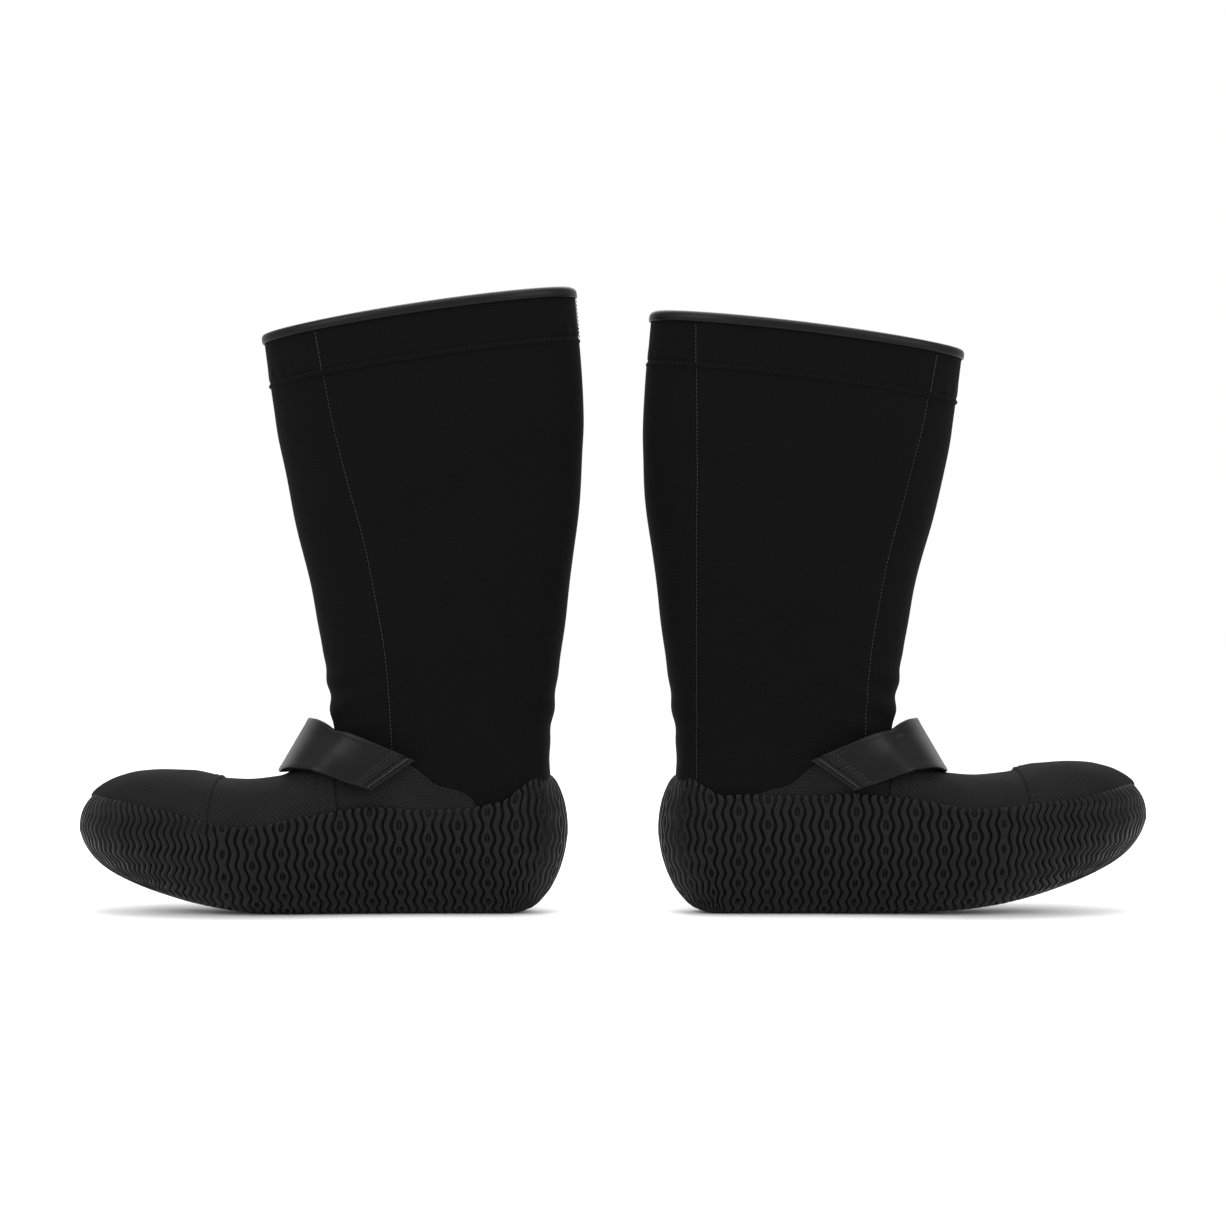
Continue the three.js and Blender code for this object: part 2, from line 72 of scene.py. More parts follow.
def smooth_line(points: Sequence[tuple[float, float]]) -> Line:
    """A smooth line through points, with no overshoot between them.

    Args:
        points: pairs of (place, value), in rising order of place.

    Returns:
        A function from places to values, held level past both ends.
    """
    xs = np.array([p[0] for p in points], float)
    ys = np.array([p[1] for p in points], float)
    slopes = np.diff(ys) / np.diff(xs)
    tangents = np.empty_like(ys)
    tangents[0], tangents[-1] = slopes[0], slopes[-1]
    product = slopes[:-1] * slopes[1:]
    total = np.where(product > 0, slopes[:-1] + slopes[1:], 1.0)
    tangents[1:-1] = np.where(product > 0, 2 * product / total, 0.0)

    def line(x: Array) -> Array:
        """The line's value at x."""
        x = np.clip(np.asarray(x, float), xs[0], xs[-1])
        i = np.clip(np.searchsorted(xs, x, side="right") - 1, 0, len(xs) - 2)
        span = xs[i + 1] - xs[i]
        t = (x - xs[i]) / span
        start = (1 + 2 * t) * (1 - t) ** 2 * ys[i] + t * (1 - t) ** 2 * span * tangents[i]
        end = t * t * (3 - 2 * t) * ys[i + 1] + t * t * (t - 1) * span * tangents[i + 1]
        return start + end

    return line


def smoothstep(x: Array, low: float, high: float) -> Array:
    """A soft step from 0 at low to 1 at high."""
    t = np.clip((np.asarray(x, float) - low) / (high - low), 0, 1)
    return t * t * (3 - 2 * t)


def bump(x: Array, middle: float, width: float) -> Array:
    """A bell of height 1 at the middle."""
    return np.exp(-(((np.asarray(x, float) - middle) / width) ** 2))


def grid_normals(points: Array, wrap: bool) -> Array:
    """Unit normals of a grid of points.

    Args:
        points: the grid, rows by columns by 3.
        wrap: whether the last column joins the first.

    Returns:
        Normals in the same layout: the way along the columns crossed with the way along the rows.
    """
    along = np.gradient(points, axis=0)
    if wrap:
        across = (np.roll(points, -1, axis=1) - np.roll(points, 1, axis=1)) / 2
    else:
        across = np.gradient(points, axis=1)
    normals = np.cross(across, along)
    return normals / np.maximum(np.linalg.norm(normals, axis=-1, keepdims=True), 1e-9)


def path_lengths(points: Array, axis: int) -> Array:
    """Distance run along one direction of a grid of points, from its start."""
    steps = np.linalg.norm(np.diff(points, axis=axis), axis=-1)
    zero = np.zeros_like(np.take(steps, [0], axis=axis))
    return np.cumsum(np.concatenate([zero, steps], axis=axis), axis=axis)


def facing(points: Array, wrap: bool, away: Array) -> Array:
    """Unit normals of a grid of points, turned so that on the whole they look the way that away does."""
    normals = grid_normals(points, wrap)
    return -normals if np.sum(normals * away) < 0 else normals


def away_from(points: Array, axis_x: float) -> Array:
    """Level directions to the points from an upright axis on the boot's middle line."""
    away = points - np.array([axis_x, 0, 0])
    away[..., 2] = 0
    return away


# ---------------------------------------------------------------- the boot's form


class Side(Enum):
    """Which foot a boot is for. The value is the way its toe points along X."""

    LEFT = -1
    RIGHT = 1

    @property
    def word(self) -> str:
        """The name that the boot's nodes start with."""
        return self.name.lower()


@dataclass
class BootForm:
    """The shape that the pieces of one boot share, in mm in the boot's own frame."""

    side: Side
    seam_shift: float
    back_seam: Optional[float]
    toe_lift: float
    rim_lift: float
    heel_width: float = 76
    waist_width: float = 78
    ball_width: float = 106
    toe_width: float = 96
    heel_radius: float = 38
    toe_radius: float = 66
    shaft_width: float = 76
    wall: float = 3.2
    neoprene: float = 5.0
    sole_thickness: float = 7.0
    wide_height: float = 46      # the level at which the foot is widest
    toe_pull: float = 9          # how far the upper is drawn in behind the rubber at the toe
    toe_pull_length: float = 54

    def __post_init__(self) -> None:
        """Reads the boot's place, length and height from the frame, and lays out its lines."""
        low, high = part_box(f"{self.side.word}_outsole")
        near = min(abs(low.x), abs(high.x)) / MM
        self.heel = near
        self.length = (high.x - low.x) / MM
        self.middle_y = (low.y + high.y) / 2 / MM
        binding_low, binding_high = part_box(f"{self.side.word}_top_binding")
        self.top_back = binding_high.z / MM
        self.top_front = binding_low.z / MM + 6.0
        self.underside = smooth_line([
            (0, 47), (1.5, 37), (5, 25), (12, 12), (22, 3), (34, 0), (172, 0), (194, 1.6), (217, 5.5),
            (241, 12), (262, 20), (276, 28), (286, 39), (290, 50)])
        self.rim = smooth_line([
            (9, 80.5), (16, 81), (25, 76.5), (38, 68), (62, 64), (85, 63.5), (111, 65), (149, 60.5),
            (186, 54), (199, 55), (224, 61), (240, 64), (262, 68), (280, 70)])
        self.foot_top = smooth_line([
            (0, 64), (10, 85), (40, 104), (105, 112), (124, 116), (138, 108), (149, 96),
            (160, 85), (171, 79.5), (190, 77.5), (206, 78), (224, 81.5), (240, 82), (254, 81),
            (266, 78), (276, 73), (284, 66), (290, 57)])
        self.centre = smooth_line([(0, 0), (75, 0), (150, -2), (205, 0), (290, 9)])
        self.half_width = smooth_line([(0, self.heel_width / 2), (60, self.heel_width / 2),
                                       (110, self.waist_width / 2), (200, self.ball_width / 2),
                                       (240, self.toe_width / 2), (290, self.toe_width / 2)])
        middle = (self.top_back + self.top_front) / 2
        half = self.shaft_width / 2
        levels = [  # back point, front point, half width, squareness
            ((12.5, 50), (128, 62), half - 3.4, 4.2),
            ((10.2, 70), (134, 92), half - 3.0, 4.0),
            ((10.9, 94), (139, 112), half - 3.4, 3.0),
            ((8.3, 120), (141.5, 130), half - 3, 2.4),
            ((4.6, 150), (144.5, 150), half - 2, 2.3),
            ((-3.6, 212), (156, 211), half - 1, 2.2),
            ((-9.2, middle - 72), (171, middle - 76), half, 2.2),
            ((-3.5, self.top_back), (180, self.top_front), half, 2.2),
            ((-1.0, self.top_back + 20), (183, self.top_front + 20), half, 2.2),
        ]
        steps = range(len(levels))
        self.back_x = smooth_line([(i, levels[i][0][0]) for i in steps])
        self.back_z = smooth_line([(i, levels[i][0][1]) for i in steps])
        self.front_x = smooth_line([(i, levels[i][1][0]) for i in steps])
        self.front_z = smooth_line([(i, levels[i][1][1]) for i in steps])
        self.level_half = smooth_line([(i, levels[i][2]) for i in steps])
        self.level_power = smooth_line([(i, levels[i][3]) for i in steps])
        self.levels = float(len(levels) - 1)
        shift = self.seam_shift
        self.front_seam = smooth_line([(60, 108 + shift), (100, 111 + shift), (144, 114 + shift),
                                       (212, 126 + shift), (290, 146 + shift), (380, 162 + shift)])

    # Lines along the foot.

    def toe_rise(self, x: Array) -> Array:
        """How far the toe end is lifted at x."""
        start = 120.0
        return self.toe_lift * np.maximum(0, (np.asarray(x, float) - start) / (self.length - start)) ** 1.1

    def sole_low(self, x: Array) -> Array:
        """Height of the tread's underside at x."""
        return self.underside(x) + self.toe_rise(x)

    def rim_height(self, x: Array) -> Array:
        """Height of the rubber's top edge at x."""
        raised = self.rim_lift * smoothstep(x, 20, 60) * (1 - smoothstep(x, 190, 250))
        return self.rim(x) + self.toe_rise(x) + raised

    def sole_half(self, x: Array) -> Array:
        """Half of the sole's width at x, rounded in at the heel and the toe."""
        heel = np.clip((self.heel_radius - x) / self.heel_radius, 0, 1)
        toe = np.clip((x - self.length + self.toe_radius) / self.toe_radius, 0, 1)
        return self.half_width(x) * np.sqrt(1 - heel**2) * (1 - toe**2.3) ** 0.45

    def place(self, points: Array) -> Array:
        """Turns points of the boot's own frame, in mm, into the row frame, in metres."""
        out = np.array(points, float) * MM
        out[..., 0] = self.side.value * (out[..., 0] + self.heel * MM)
        out[..., 1] += self.middle_y * MM
        return out

    # The shaft's outer face.

    def top_edge(self, x: Array) -> Array:
        """Height of the shaft's sloping top edge at x."""
        share = (np.asarray(x, float) + 3.5) / 183.5
        crown = 1.4 * np.sin(math.pi * np.clip(share, 0, 1))
        return self.top_back + (self.top_front - self.top_back) * share + crown

    def shaft_ring(self, level: Array, angle: Array, grow: float = 0.0) -> Array:
        """Points round the shaft.

        Args:
            level: place up the shaft, from 0 in the heel to the number of levels.
            angle: 0 at the front and a quarter turn at the lateral side, in radians.
            grow: distance outside the outer face.

        Returns:
            The points, in the layout of level and angle.
        """
        bx, bz, fx, fz = self.back_x(level), self.back_z(level), self.front_x(level), self.front_z(level)
        length = np.hypot(fx - bx, fz - bz)
        power = 2 / self.level_power(level)
        cosine, sine = np.cos(angle), np.sin(angle)
        forward = (length / 2 + grow) * np.sign(cosine) * np.abs(cosine) ** power
        out = (self.level_half(level) + grow) * np.sign(sine) * np.abs(sine) ** power
        x = (bx + fx) / 2 + (fx - bx) / length * forward
        z = (bz + fz) / 2 + (fz - bz) / length * forward
        return np.stack([x, -out, z], axis=-1)

    def seam_angle(self, level: Array, seam: Line) -> Array:
        """The angle, 0 to half a turn, at which the ring of a level meets a seam given as x at a height."""
        bx, bz, fx, fz = self.back_x(level), self.back_z(level), self.front_x(level), self.front_z(level)
        share = np.full_like(np.asarray(level, float), 0.6)
        for _ in range(4):
            z = bz + (fz - bz) * (share + 1) / 2
            share = np.clip((seam(z) - (bx + fx) / 2) / ((fx - bx) / 2), -1, 1)
        return np.arccos(np.sign(share) * np.abs(share) ** (self.level_power(level) / 2))

    def find_level(self, turn: Line, target: Line, shape: tuple[int, ...], grow: float = 0.0) -> Array:
        """The level at which each point of a run or grid reaches its height, found by halving.

        Args:
            turn: the angle from the level.
            target: the height wanted from x.
            shape: the layout of the points.
            grow: distance outside the outer face.

        Returns:
            The levels.
        """
        low, high = np.full(shape, 0.02), np.full(shape, self.levels - 0.02)
        for _ in range(17):
            middle = (low + high) / 2
            here = self.shaft_ring(middle, turn(middle), grow)
            above = here[..., 2] > target(here[..., 0])
            low, high = np.where(above, low, middle), np.where(above, middle, high)
        return (low + high) / 2

    def on_shaft(self, target: Callable[[Array, Array], Array], turn: Callable[[Array, Array], Array],
                 rows: Array, columns: Array, grow: float = 0.0) -> Array:
        """A grid on the shaft whose rows lie at given heights.

        Args:
            target: the height wanted, from x and the row's share.
            turn: the angle wanted, from the level and the column's share.
            rows: row shares.
            columns: column shares.
            grow: distance outside the outer face.

        Returns:
            The grid, rows by columns by 3.
        """
        share, place = np.meshgrid(rows, columns, indexing="ij")
        level = self.find_level(lambda v: turn(v, place), lambda x: target(x, share), share.shape, grow)
        return self.shaft_ring(level, turn(level, place), grow)

    # The foot's upper face.

    def arch(self, x: Array, across: Array, inset: float = 0.0, tuck: float = 9.0) -> Array:
        """Points over the foot in cross-sections.

        Args:
            x: place along the foot.
            across: -1 at the lateral rubber edge, 0 on the ridge, 1 at the medial edge.
            inset: distance inside the upper's outer face.
            tuck: how far the edges reach down behind the rubber.

        Returns:
            The points, in the layout of x and across.
        """
        rise = self.toe_rise(x)
        high = self.foot_top(x) + rise - inset
        wide = self.wide_height + rise * 0.5
        start = np.clip((self.rim_height(x) - tuck - wide) / np.maximum(high - wide, 4), 0.0, 0.92)
        angle = np.arcsin(start) + (math.pi / 2 - np.arcsin(start)) * (1 - np.abs(across))
        up = np.sin(angle)
        share = np.maximum(1 - up**2.5, 0) ** 0.4
        pulled = self.toe_pull * smoothstep(x, self.length - self.toe_pull_length, self.length - 5)
        behind = np.minimum(x + pulled, self.length - 0.2)
        half = np.maximum(self.sole_half(behind) - self.wall - inset, 0.5)
        y = self.centre(x) + np.sign(across) * half * share
        return np.stack([x + 0 * y, y, wide + (high - wide) * up], axis=-1)

    def side_out(self, x: Array, z: Array) -> Array:
        """How far the upper's outer face stands out to the side at a place in the side view."""
        level = np.full_like(x, 2.0)
        for _ in range(12):
            span = self.front_x(level) - self.back_x(level)
            share = (x - self.back_x(level)) / span
            height = self.back_z(level) + (self.front_z(level) - self.back_z(level)) * share
            level = np.clip(level + (z - height) / 30, 0, self.levels)
        across = np.clip(np.abs(2 * share - 1), 0, 1)
        power = self.level_power(level)
        shaft = self.level_half(level) * np.maximum(1 - across**power, 0) ** (1 / power)
        rise = self.toe_rise(x)
        high = self.foot_top(x) + rise
        wide = self.wide_height + rise * 0.5
        up = np.clip((z - wide) / (high - wide), 0, 1)
        foot = np.maximum(self.sole_half(x) - self.wall, 0) * np.maximum(1 - up**2.5, 0) ** 0.4
        soft = 3.0
        return soft * np.logaddexp(shaft / soft, foot / soft) - soft * 0.35


# ---------------------------------------------------------------- meshes


def mesh_object(name: str, points: Array, faces: Array, uv: Optional[Array] = None) -> bpy.types.Object:
    """One object from points in metres.

    Args:
        name: the piece's name.
        points: vertices, n by 3, in the row frame.
        faces: quads, m by 4, or triangles, m by 3.
        uv: a place on the cloth for each vertex, in mm.

    Returns:
        The object, smooth shaded, with its faces pointing out.
    """
    a, b, c = points[faces[:, 0]], points[faces[:, 1]], points[faces[:, 2]]
    volume = np.einsum("ij,ij->i", a, np.cross(b, c)).sum()
    if faces.shape[1] == 4:
        d = points[faces[:, 3]]
        volume += np.einsum("ij,ij->i", a, np.cross(c, d)).sum()
    if volume < 0:
        faces = faces[:, ::-1]
    mesh = bpy.data.meshes.new(name)
    mesh.from_pydata(points.tolist(), [], faces.tolist())
    mesh.polygons.foreach_set("use_smooth", np.ones(len(faces), bool))
    if uv is not None:
        corners = np.empty(len(mesh.loops), np.int64)
        mesh.loops.foreach_get("vertex_index", corners)
        layer = mesh.uv_layers.new(name="cloth")
        layer.data.foreach_set("uv", (uv[corners] * MM).astype(np.float32).ravel())
    mesh.validate()
    made = bpy.data.objects.new(name, mesh)
    bpy.context.scene.collection.objects.link(made)
    return made


def grid_faces(rows: int, columns: int, wrap: bool, offset: int = 0) -> Array:
    """Quads of a grid of vertices numbered row by row from offset."""
    right = columns if wrap else columns - 1
    i, j = np.meshgrid(np.arange(rows - 1), np.arange(right), indexing="ij")
    k = (j + 1) % columns
    low, high = i * columns, (i + 1) * columns
    quads = np.stack([low + j, low + k, high + k, high + j], axis=-1)
    return quads.reshape(-1, 4) + offset


def shell_object(form: BootForm, name: str, outer: Array, inner: Array,
                 wrap: bool = False) -> bpy.types.Object:
    """A closed piece of cloth or rubber between an outer and an inner face.

    Args:
        form: the boot it belongs to.
        name: the piece's name.
        outer: the outer face's grid, in mm.
        inner: the inner face's grid, of the same layout.
        wrap: whether the columns go right round.

    Returns:
        The object.
    """
    rows, columns = outer.shape[:2]
    count = rows * columns
    faces = [grid_faces(rows, columns, wrap), grid_faces(rows, columns, wrap, count)[:, ::-1]]

    def seal(loop: Array) -> None:
        """Joins the two faces along a run of vertices."""
        a, b = loop[:-1], loop[1:]
        faces.append(np.stack([b, a, a + count, b + count], axis=-1))

    ring = np.arange(columns)
    ring = np.append(ring, 0) if wrap else ring
    seal(ring)
    seal((ring + (rows - 1) * columns)[::-1])
    if not wrap:
        seal((np.arange(rows) * columns)[::-1])
        seal(np.arange(rows) * columns + columns - 1)
    along, across = path_lengths(outer, 0), path_lengths(outer, 1)
    uv = np.stack([across, along], axis=-1).reshape(-1, 2)
    points = np.concatenate([outer.reshape(-1, 3), inner.reshape(-1, 3)])
    return mesh_object(name, form.place(points), np.concatenate(faces), np.concatenate([uv, uv]))


@dataclass
class Thread:
    """Sewing thread laid in stitches along a seam."""

    pitch: float = 3.4
    length: float = 2.5
    radius: float = 0.28

    def sew(self, form: BootForm, name: str, runs: list[tuple[Array, Array]]) -> bpy.types.Object:
        """Stitches along several runs, as one object.

        Args:
            form: the boot they belong to.
            name: the object's name.
            runs: pairs of points along a seam and the cloth's normals there, in mm.

        Returns:
            The object.
        """
        rings, around = 4, 6
        points, faces = [], []
        base = 0
        for path, normals in runs:
            steps = np.concatenate([[0], np.cumsum(np.linalg.norm(np.diff(path, axis=0), axis=1))])
            starts = np.arange(self.pitch / 2, steps[-1] - self.length, self.pitch)
            for start in starts:
                at = start + self.length * np.linspace(0, 1, rings)
                spine = np.stack([np.interp(at, steps, path[:, k]) for k in range(3)], axis=-1)
                normal = np.array([np.interp(start, steps, normals[:, k]) for k in range(3)])
                forward = spine[-1] - spine[0]
                forward /= max(np.linalg.norm(forward), 1e-9)
                side = np.cross(forward, normal)
                side /= max(np.linalg.norm(side), 1e-9)
                arch = np.sin(np.linspace(0.15, math.pi - 0.15, rings))
                spine = spine + normal * (arch[:, None] - 0.7) * self.radius * 1.6
                turn = np.linspace(0, 2 * math.pi, around, endpoint=False)
                circle = np.cos(turn)[:, None] * side + np.sin(turn)[:, None] * normal
                thick = self.radius * np.array([0.55, 1, 1, 0.55])
                body = spine[:, None] + circle[None] * thick[:, None, None]
                points += [body.reshape(-1, 3), spine[[0]] - forward * self.radius * 0.6,
                           spine[[-1]] + forward * self.radius * 0.6]
                faces.append(grid_faces(rings, around, True, base))
                tips = base + rings * around
                j = np.arange(around)
                k = (j + 1) % around
                last = base + (rings - 1) * around
                faces.append(np.stack([k + base, j + base, j * 0 + tips, j * 0 + tips], axis=-1))
                faces.append(np.stack([j + last, k + last, j * 0 + tips + 1, j * 0 + tips + 1], axis=-1))
                base = tips + 2
        quads = np.concatenate(faces)
        return stitch_mesh(name, form.place(np.concatenate(points)), quads)


def stitch_mesh(name: str, points: Array, quads: Array) -> bpy.types.Object:
    """An object from quads, of which some are triangles with their last corner twice."""
    first = quads[:18]
    centre = points[:26].mean(axis=0)
    turned = sum(np.dot(points[q[0]] - centre, np.cross(points[q[1]] - centre, points[q[2]] - centre))
                 for q in first) < 0
    mesh = bpy.data.meshes.new(name)
    polygons = [q[:3] if q[2] == q[3] else q for q in quads.tolist()]
    mesh.from_pydata(points.tolist(), [], [p[::-1] for p in polygons] if turned else polygons)
    mesh.polygons.foreach_set("use_smooth", np.ones(len(polygons), bool))
    made = bpy.data.objects.new(name, mesh)
    bpy.context.scene.collection.objects.link(made)
    return made


# ---------------------------------------------------------------- the rubber sole


@dataclass
class RubberSole:
    """The moulded sole and its turned-up wall, ribbed all round, in mm."""

    form: BootForm
    pitch: float = 17.1          # between chains of loops, round the sole
    loop_pitch: float = 15.8     # between loops, up the wall
    groove: float = 1.15         # width of a groove's floor
    relief: float = 2.1          # depth of a groove
    chain_half: float = 2.85     # mean half width of a chain
    chain_swell: float = 1.1     # how much a chain widens at a loop and narrows between loops
    hole_half: tuple[float, float] = (1.3, 3.3)
    toe_chain_half: float = 3.85
    toe_groove_half: float = 0.5
    zigzag: float = 1.4
    scallop: float = 1.7
    under_girth: float = 74      # from the spine to the widest line, as the pattern counts it
    rim_ends: tuple[float, float] = (12, 281)
    toe_zone: tuple[float, float] = (188, 222)
    side_lean: float = 0.8       # how far the wall's top leans in at the sides
    end_lean: float = 8.0        # and how much more at the heel and the toe
    turn_rows: int = 20          # rows of the bottom over which it thins towards the wall
    flat_share: float = 0.2
    under_power: float = 1.6
    bottom_rows: int = 64
    wall_rows: int = 30

    def outline(self) -> tuple[Array, Array]:
        """The sole's plan outline from the back of the heel, first along the outer side, and its spine.

        Returns:
            The outline's points and the matching points on the spine, each n by 2.
        """
        form, length = self.form, self.form.length
        turn = np.linspace(0, math.pi, 700)
        x = length * (1 - np.cos(turn)) / 2
        one = np.stack([x, form.centre(x) - form.sole_half(x)], axis=-1)
        other = np.stack([x, form.centre(x) + form.sole_half(x)], axis=-1)[::-1]
        edge = np.concatenate([one, other[1:]])
        spine_x = np.clip(edge[:, 0], form.heel_radius, length - 54)
        return edge, np.stack([spine_x, form.centre(spine_x)], axis=-1)

    def shifts(self, height: Array, chain: float, toe: float) -> tuple[Array, Array, Array]:
        """How a chain and the grooves on both sides of it swing at each height.

        Args:
            height: distance up the girth from the widest line.
            chain: the chain's number, which staggers the loops.
            toe: 1 in the toe zone, where plain zigzag ribs take the place of the loops.

        Returns:
            Shifts of the groove before it, of its middle and of the groove after it.
        """
        wave = self.chain_swell * np.cos(2 * math.pi * height / self.loop_pitch + math.pi * chain)
        zig = self.zigzag * np.sin(2 * math.pi * height / self.loop_pitch)
        return toe * zig - (1 - toe) * wave, toe * zig, toe * zig + (1 - toe) * wave

    def knots(self, height: Array, chain: float, toe: float, reach: Array) -> tuple[Array, Array]:
        """Where the vertices of one half pitch lie, next to a chain.

        Args:
            height: distance up the girth from the widest line.
            chain: the chain's number.
            toe: 1 in the toe zone.
            reach: distance from the chain's middle to the groove halfway to the next chain.

        Returns:
            Distances from the chain's middle, and relief as a share of the full relief.
        """
        phase = 2 * math.pi * height / self.loop_pitch + math.pi * chain
        swell = self.chain_half + self.chain_swell * np.cos(phase)
        edge = swell + (self.toe_chain_half - swell) * toe
        rise = ((phase + math.pi) % (2 * math.pi) - math.pi) * self.loop_pitch / (2 * math.pi)
        hole_wide, hole_high = self.hole_half
        round_hole = hole_wide * np.sqrt(np.maximum(1 - (rise / hole_high) ** 2, 0))
        hole = np.maximum(round_hole * (1 - toe) + self.toe_groove_half * toe, 0.25)
        sunk = np.where((np.abs(rise) < hole_high * 0.97) | (toe > 0.5), 0.0, 1.0)
        soft = 0.28
        foot = edge + self.groove
        last = reach - self.groove / 2
        places = [0 * edge, hole * 0.85, hole + soft, (hole + edge) / 2, edge - soft, edge, foot, foot + soft,
                  (foot + last) / 2, last - soft, last]
        rib = (1.0, 0.92, 0.0, 0.0, 0.9, 1.0, 0.9, 0.0)
        tops = [sunk, sunk, 0.94 + 0 * edge] + [0 * edge + v for v in rib]
        return np.stack(places, axis=-1), np.stack(tops, axis=-1)

    def surface(self) -> tuple[Array, Array, Array]:
        """The grid of the outer face before the relief, with the relief's share.

        Returns:
            The grid, rows by columns by 3, the relief's share for each vertex, and each row's share of the
            way up the wall.
        """
        form = self.form
        edge, spine = self.outline()
        run = np.concatenate([[0], np.cumsum(np.linalg.norm(np.diff(edge, axis=0), axis=1))])
        chains = 2 * round(run[-1] / self.pitch / 2)
        stretch = run[-1] / chains / self.pitch
        number = np.arange(chains)
        rows = self.bottom_rows + self.wall_rows
        # Heights up the girth for each row, and the zone that each chain lies in.
        middle = np.interp(number * self.pitch * stretch, run, edge[:, 0])
        wall_high = form.rim_height(np.clip(middle, *self.rim_ends)) - form.wide_height
        bottom = np.linspace(0, 1, self.bottom_rows, endpoint=False)
        wall = np.linspace(0, 1, self.wall_rows)
        toe = smoothstep(middle, *self.toe_zone)
        fade = np.concatenate([smoothstep(bottom, 0.12, 0.3), np.ones(self.wall_rows)])[:, None]
        places, shares = [], []
        for j in number:
            k = (j + 1) % chains
            heights = [np.concatenate([(bottom - 1) * self.under_girth, wall * wall_high[c]]) for c in (j, k)]
            _, own, after = self.shifts(heights[0], j, toe[j])
            before, following, _ = self.shifts(heights[1], j + 1, toe[k])
            halfway = self.pitch / 2 + (before + after) / 2
            at, top = self.knots(heights[0], j, toe[j], halfway - own)
            at2, top2 = self.knots(heights[1], j + 1, toe[k], self.pitch + following - halfway)
            one = j * self.pitch + own[:, None] + at
            two = (j + 1) * self.pitch + following[:, None] - at2[:, ::-1][:, :-1]
            places.append(np.concatenate([one, two], axis=1))
            shares.append(1 - (1 - np.concatenate([top, top2[:, ::-1][:, :-1]], axis=1)) * fade)
        at = np.concatenate(places, axis=1) * stretch % run[-1]
        share = np.concatenate(shares, axis=1)
        ex, ey = np.interp(at, run, edge[:, 0]), np.interp(at, run, edge[:, 1])
        sx, sy = np.interp(at, run, spine[:, 0]), np.interp(at, run, spine[:, 1])
        points = np.empty(at.shape + (3,))
        fine = np.sin(np.linspace(0, math.pi / 2, 160))
        for j in range(at.shape[1]):
            i = self.bottom_rows
            x = sx[:i, j][:, None] + (ex[:i, j] - sx[:i, j])[:, None] * fine
            y = sy[:i, j][:, None] + (ey[:i, j] - sy[:i, j])[:, None] * fine
            z = self.under_height(x, y)
            step = np.sqrt(np.diff(x) ** 2 + np.diff(y) ** 2 + np.diff(z) ** 2)
            length = np.concatenate([np.zeros((i, 1)), np.cumsum(step, axis=1)], axis=1)
            want = bottom * length[:, -1]
            for r in range(i):
                points[r, j] = [np.interp(want[r], length[r], v[r]) for v in (x, y, z)]
        inward = np.stack([sx - ex, sy - ey], axis=-1)
        inward /= np.maximum(np.linalg.norm(inward, axis=-1, keepdims=True), 1e-6)
        end = np.abs(inward[..., 0]) ** 2
        up = np.concatenate([np.zeros(self.bottom_rows), wall])
        lean = (self.side_lean + self.end_lean * end) * up[:, None] ** 2.6
        top = form.rim_height(np.clip(ex, *self.rim_ends))
        wide = self.wide_line(ex)
        rows_up = slice(self.bottom_rows, rows)
        points[rows_up, :, 0] = (ex + inward[..., 0] * lean)[rows_up]
        points[rows_up, :, 1] = (ey + inward[..., 1] * lean)[rows_up]
        points[rows_up, :, 2] = (wide + (top - wide) * up[:, None])[rows_up]
        return points, share, up

    def wide_line(self, x: Array) -> Array:
        """Height at which the sole is widest at x."""
        return self.form.wide_height + self.form.toe_rise(x) + 3 * smoothstep(x, 262, 285)

    def under_height(self, x: Array, y: Array) -> Array:
        """Height of the underside at a place in the plan."""
        form = self.form
        half = np.maximum(form.sole_half(x), 0.4)
        across = np.clip(np.abs(y - form.centre(x)) / half, 0, 1)
        share = np.clip((across - self.flat_share) / (1 - self.flat_share), 0, 1)
        low = form.sole_low(x)
        wide = self.wide_line(x)
        return low + np.maximum(wide - low, 0) * (1 - (1 - share**self.under_power) ** (1 / self.under_power))

    def build(self) -> bpy.types.Object:
        """The sole as one piece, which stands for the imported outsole."""
        form = self.form
        points, share, up = self.surface()
        normals = facing(points, True, points - np.array([form.length / 2, 0, 60]))
        normals = sum(np.roll(normals, k, axis=1) for k in range(-8, 9))
        settled = smoothstep(np.arange(len(points)), 5, 12)[:, None, None]
        normals /= np.maximum(np.linalg.norm(normals, axis=-1, keepdims=True), 1e-9)
        normals = normals * settled + np.array([0, 0, -1.0]) * (1 - settled)
        normals /= np.linalg.norm(normals, axis=-1, keepdims=True)
        wall = up[:, None] + 0 * share
        sunk = self.relief * (1 - share) * (1 - 0.25 * wall)
        tip = smoothstep(wall, 0.9, 1.0) * 0.5
        points[..., 2] -= self.scallop * (1 - share) * wall**6
        outer = points - normals * (sunk + tip)[..., None]
        thinner = form.sole_thickness - 1.5
        thick = np.concatenate([np.linspace(form.sole_thickness, thinner, self.bottom_rows - self.turn_rows),
                                np.linspace(thinner, form.wall, self.turn_rows),
                                np.linspace(form.wall, 2.5, self.wall_rows)])
        inner = points - normals * thick[:, None, None]
        made = shell_object(form, f"{form.side.word}_ribbed_sole", outer, inner, wrap=True)
        # The relief share also goes on the vertices, so that the rubber's finish can paint the groove floors
        # near black as painted shade; the inner face gets a middle value.
        layer = made.data.attributes.new("relief", "FLOAT", "POINT")
        relief = np.concatenate([share.ravel(), np.full(share.size, 0.5)])
        layer.data.foreach_set("value", relief.astype(np.float32))
        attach(made, f"{form.side.word}_foot")
        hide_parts(f"{form.side.word}_outsole")
        return made


# ---------------------------------------------------------------- the upper


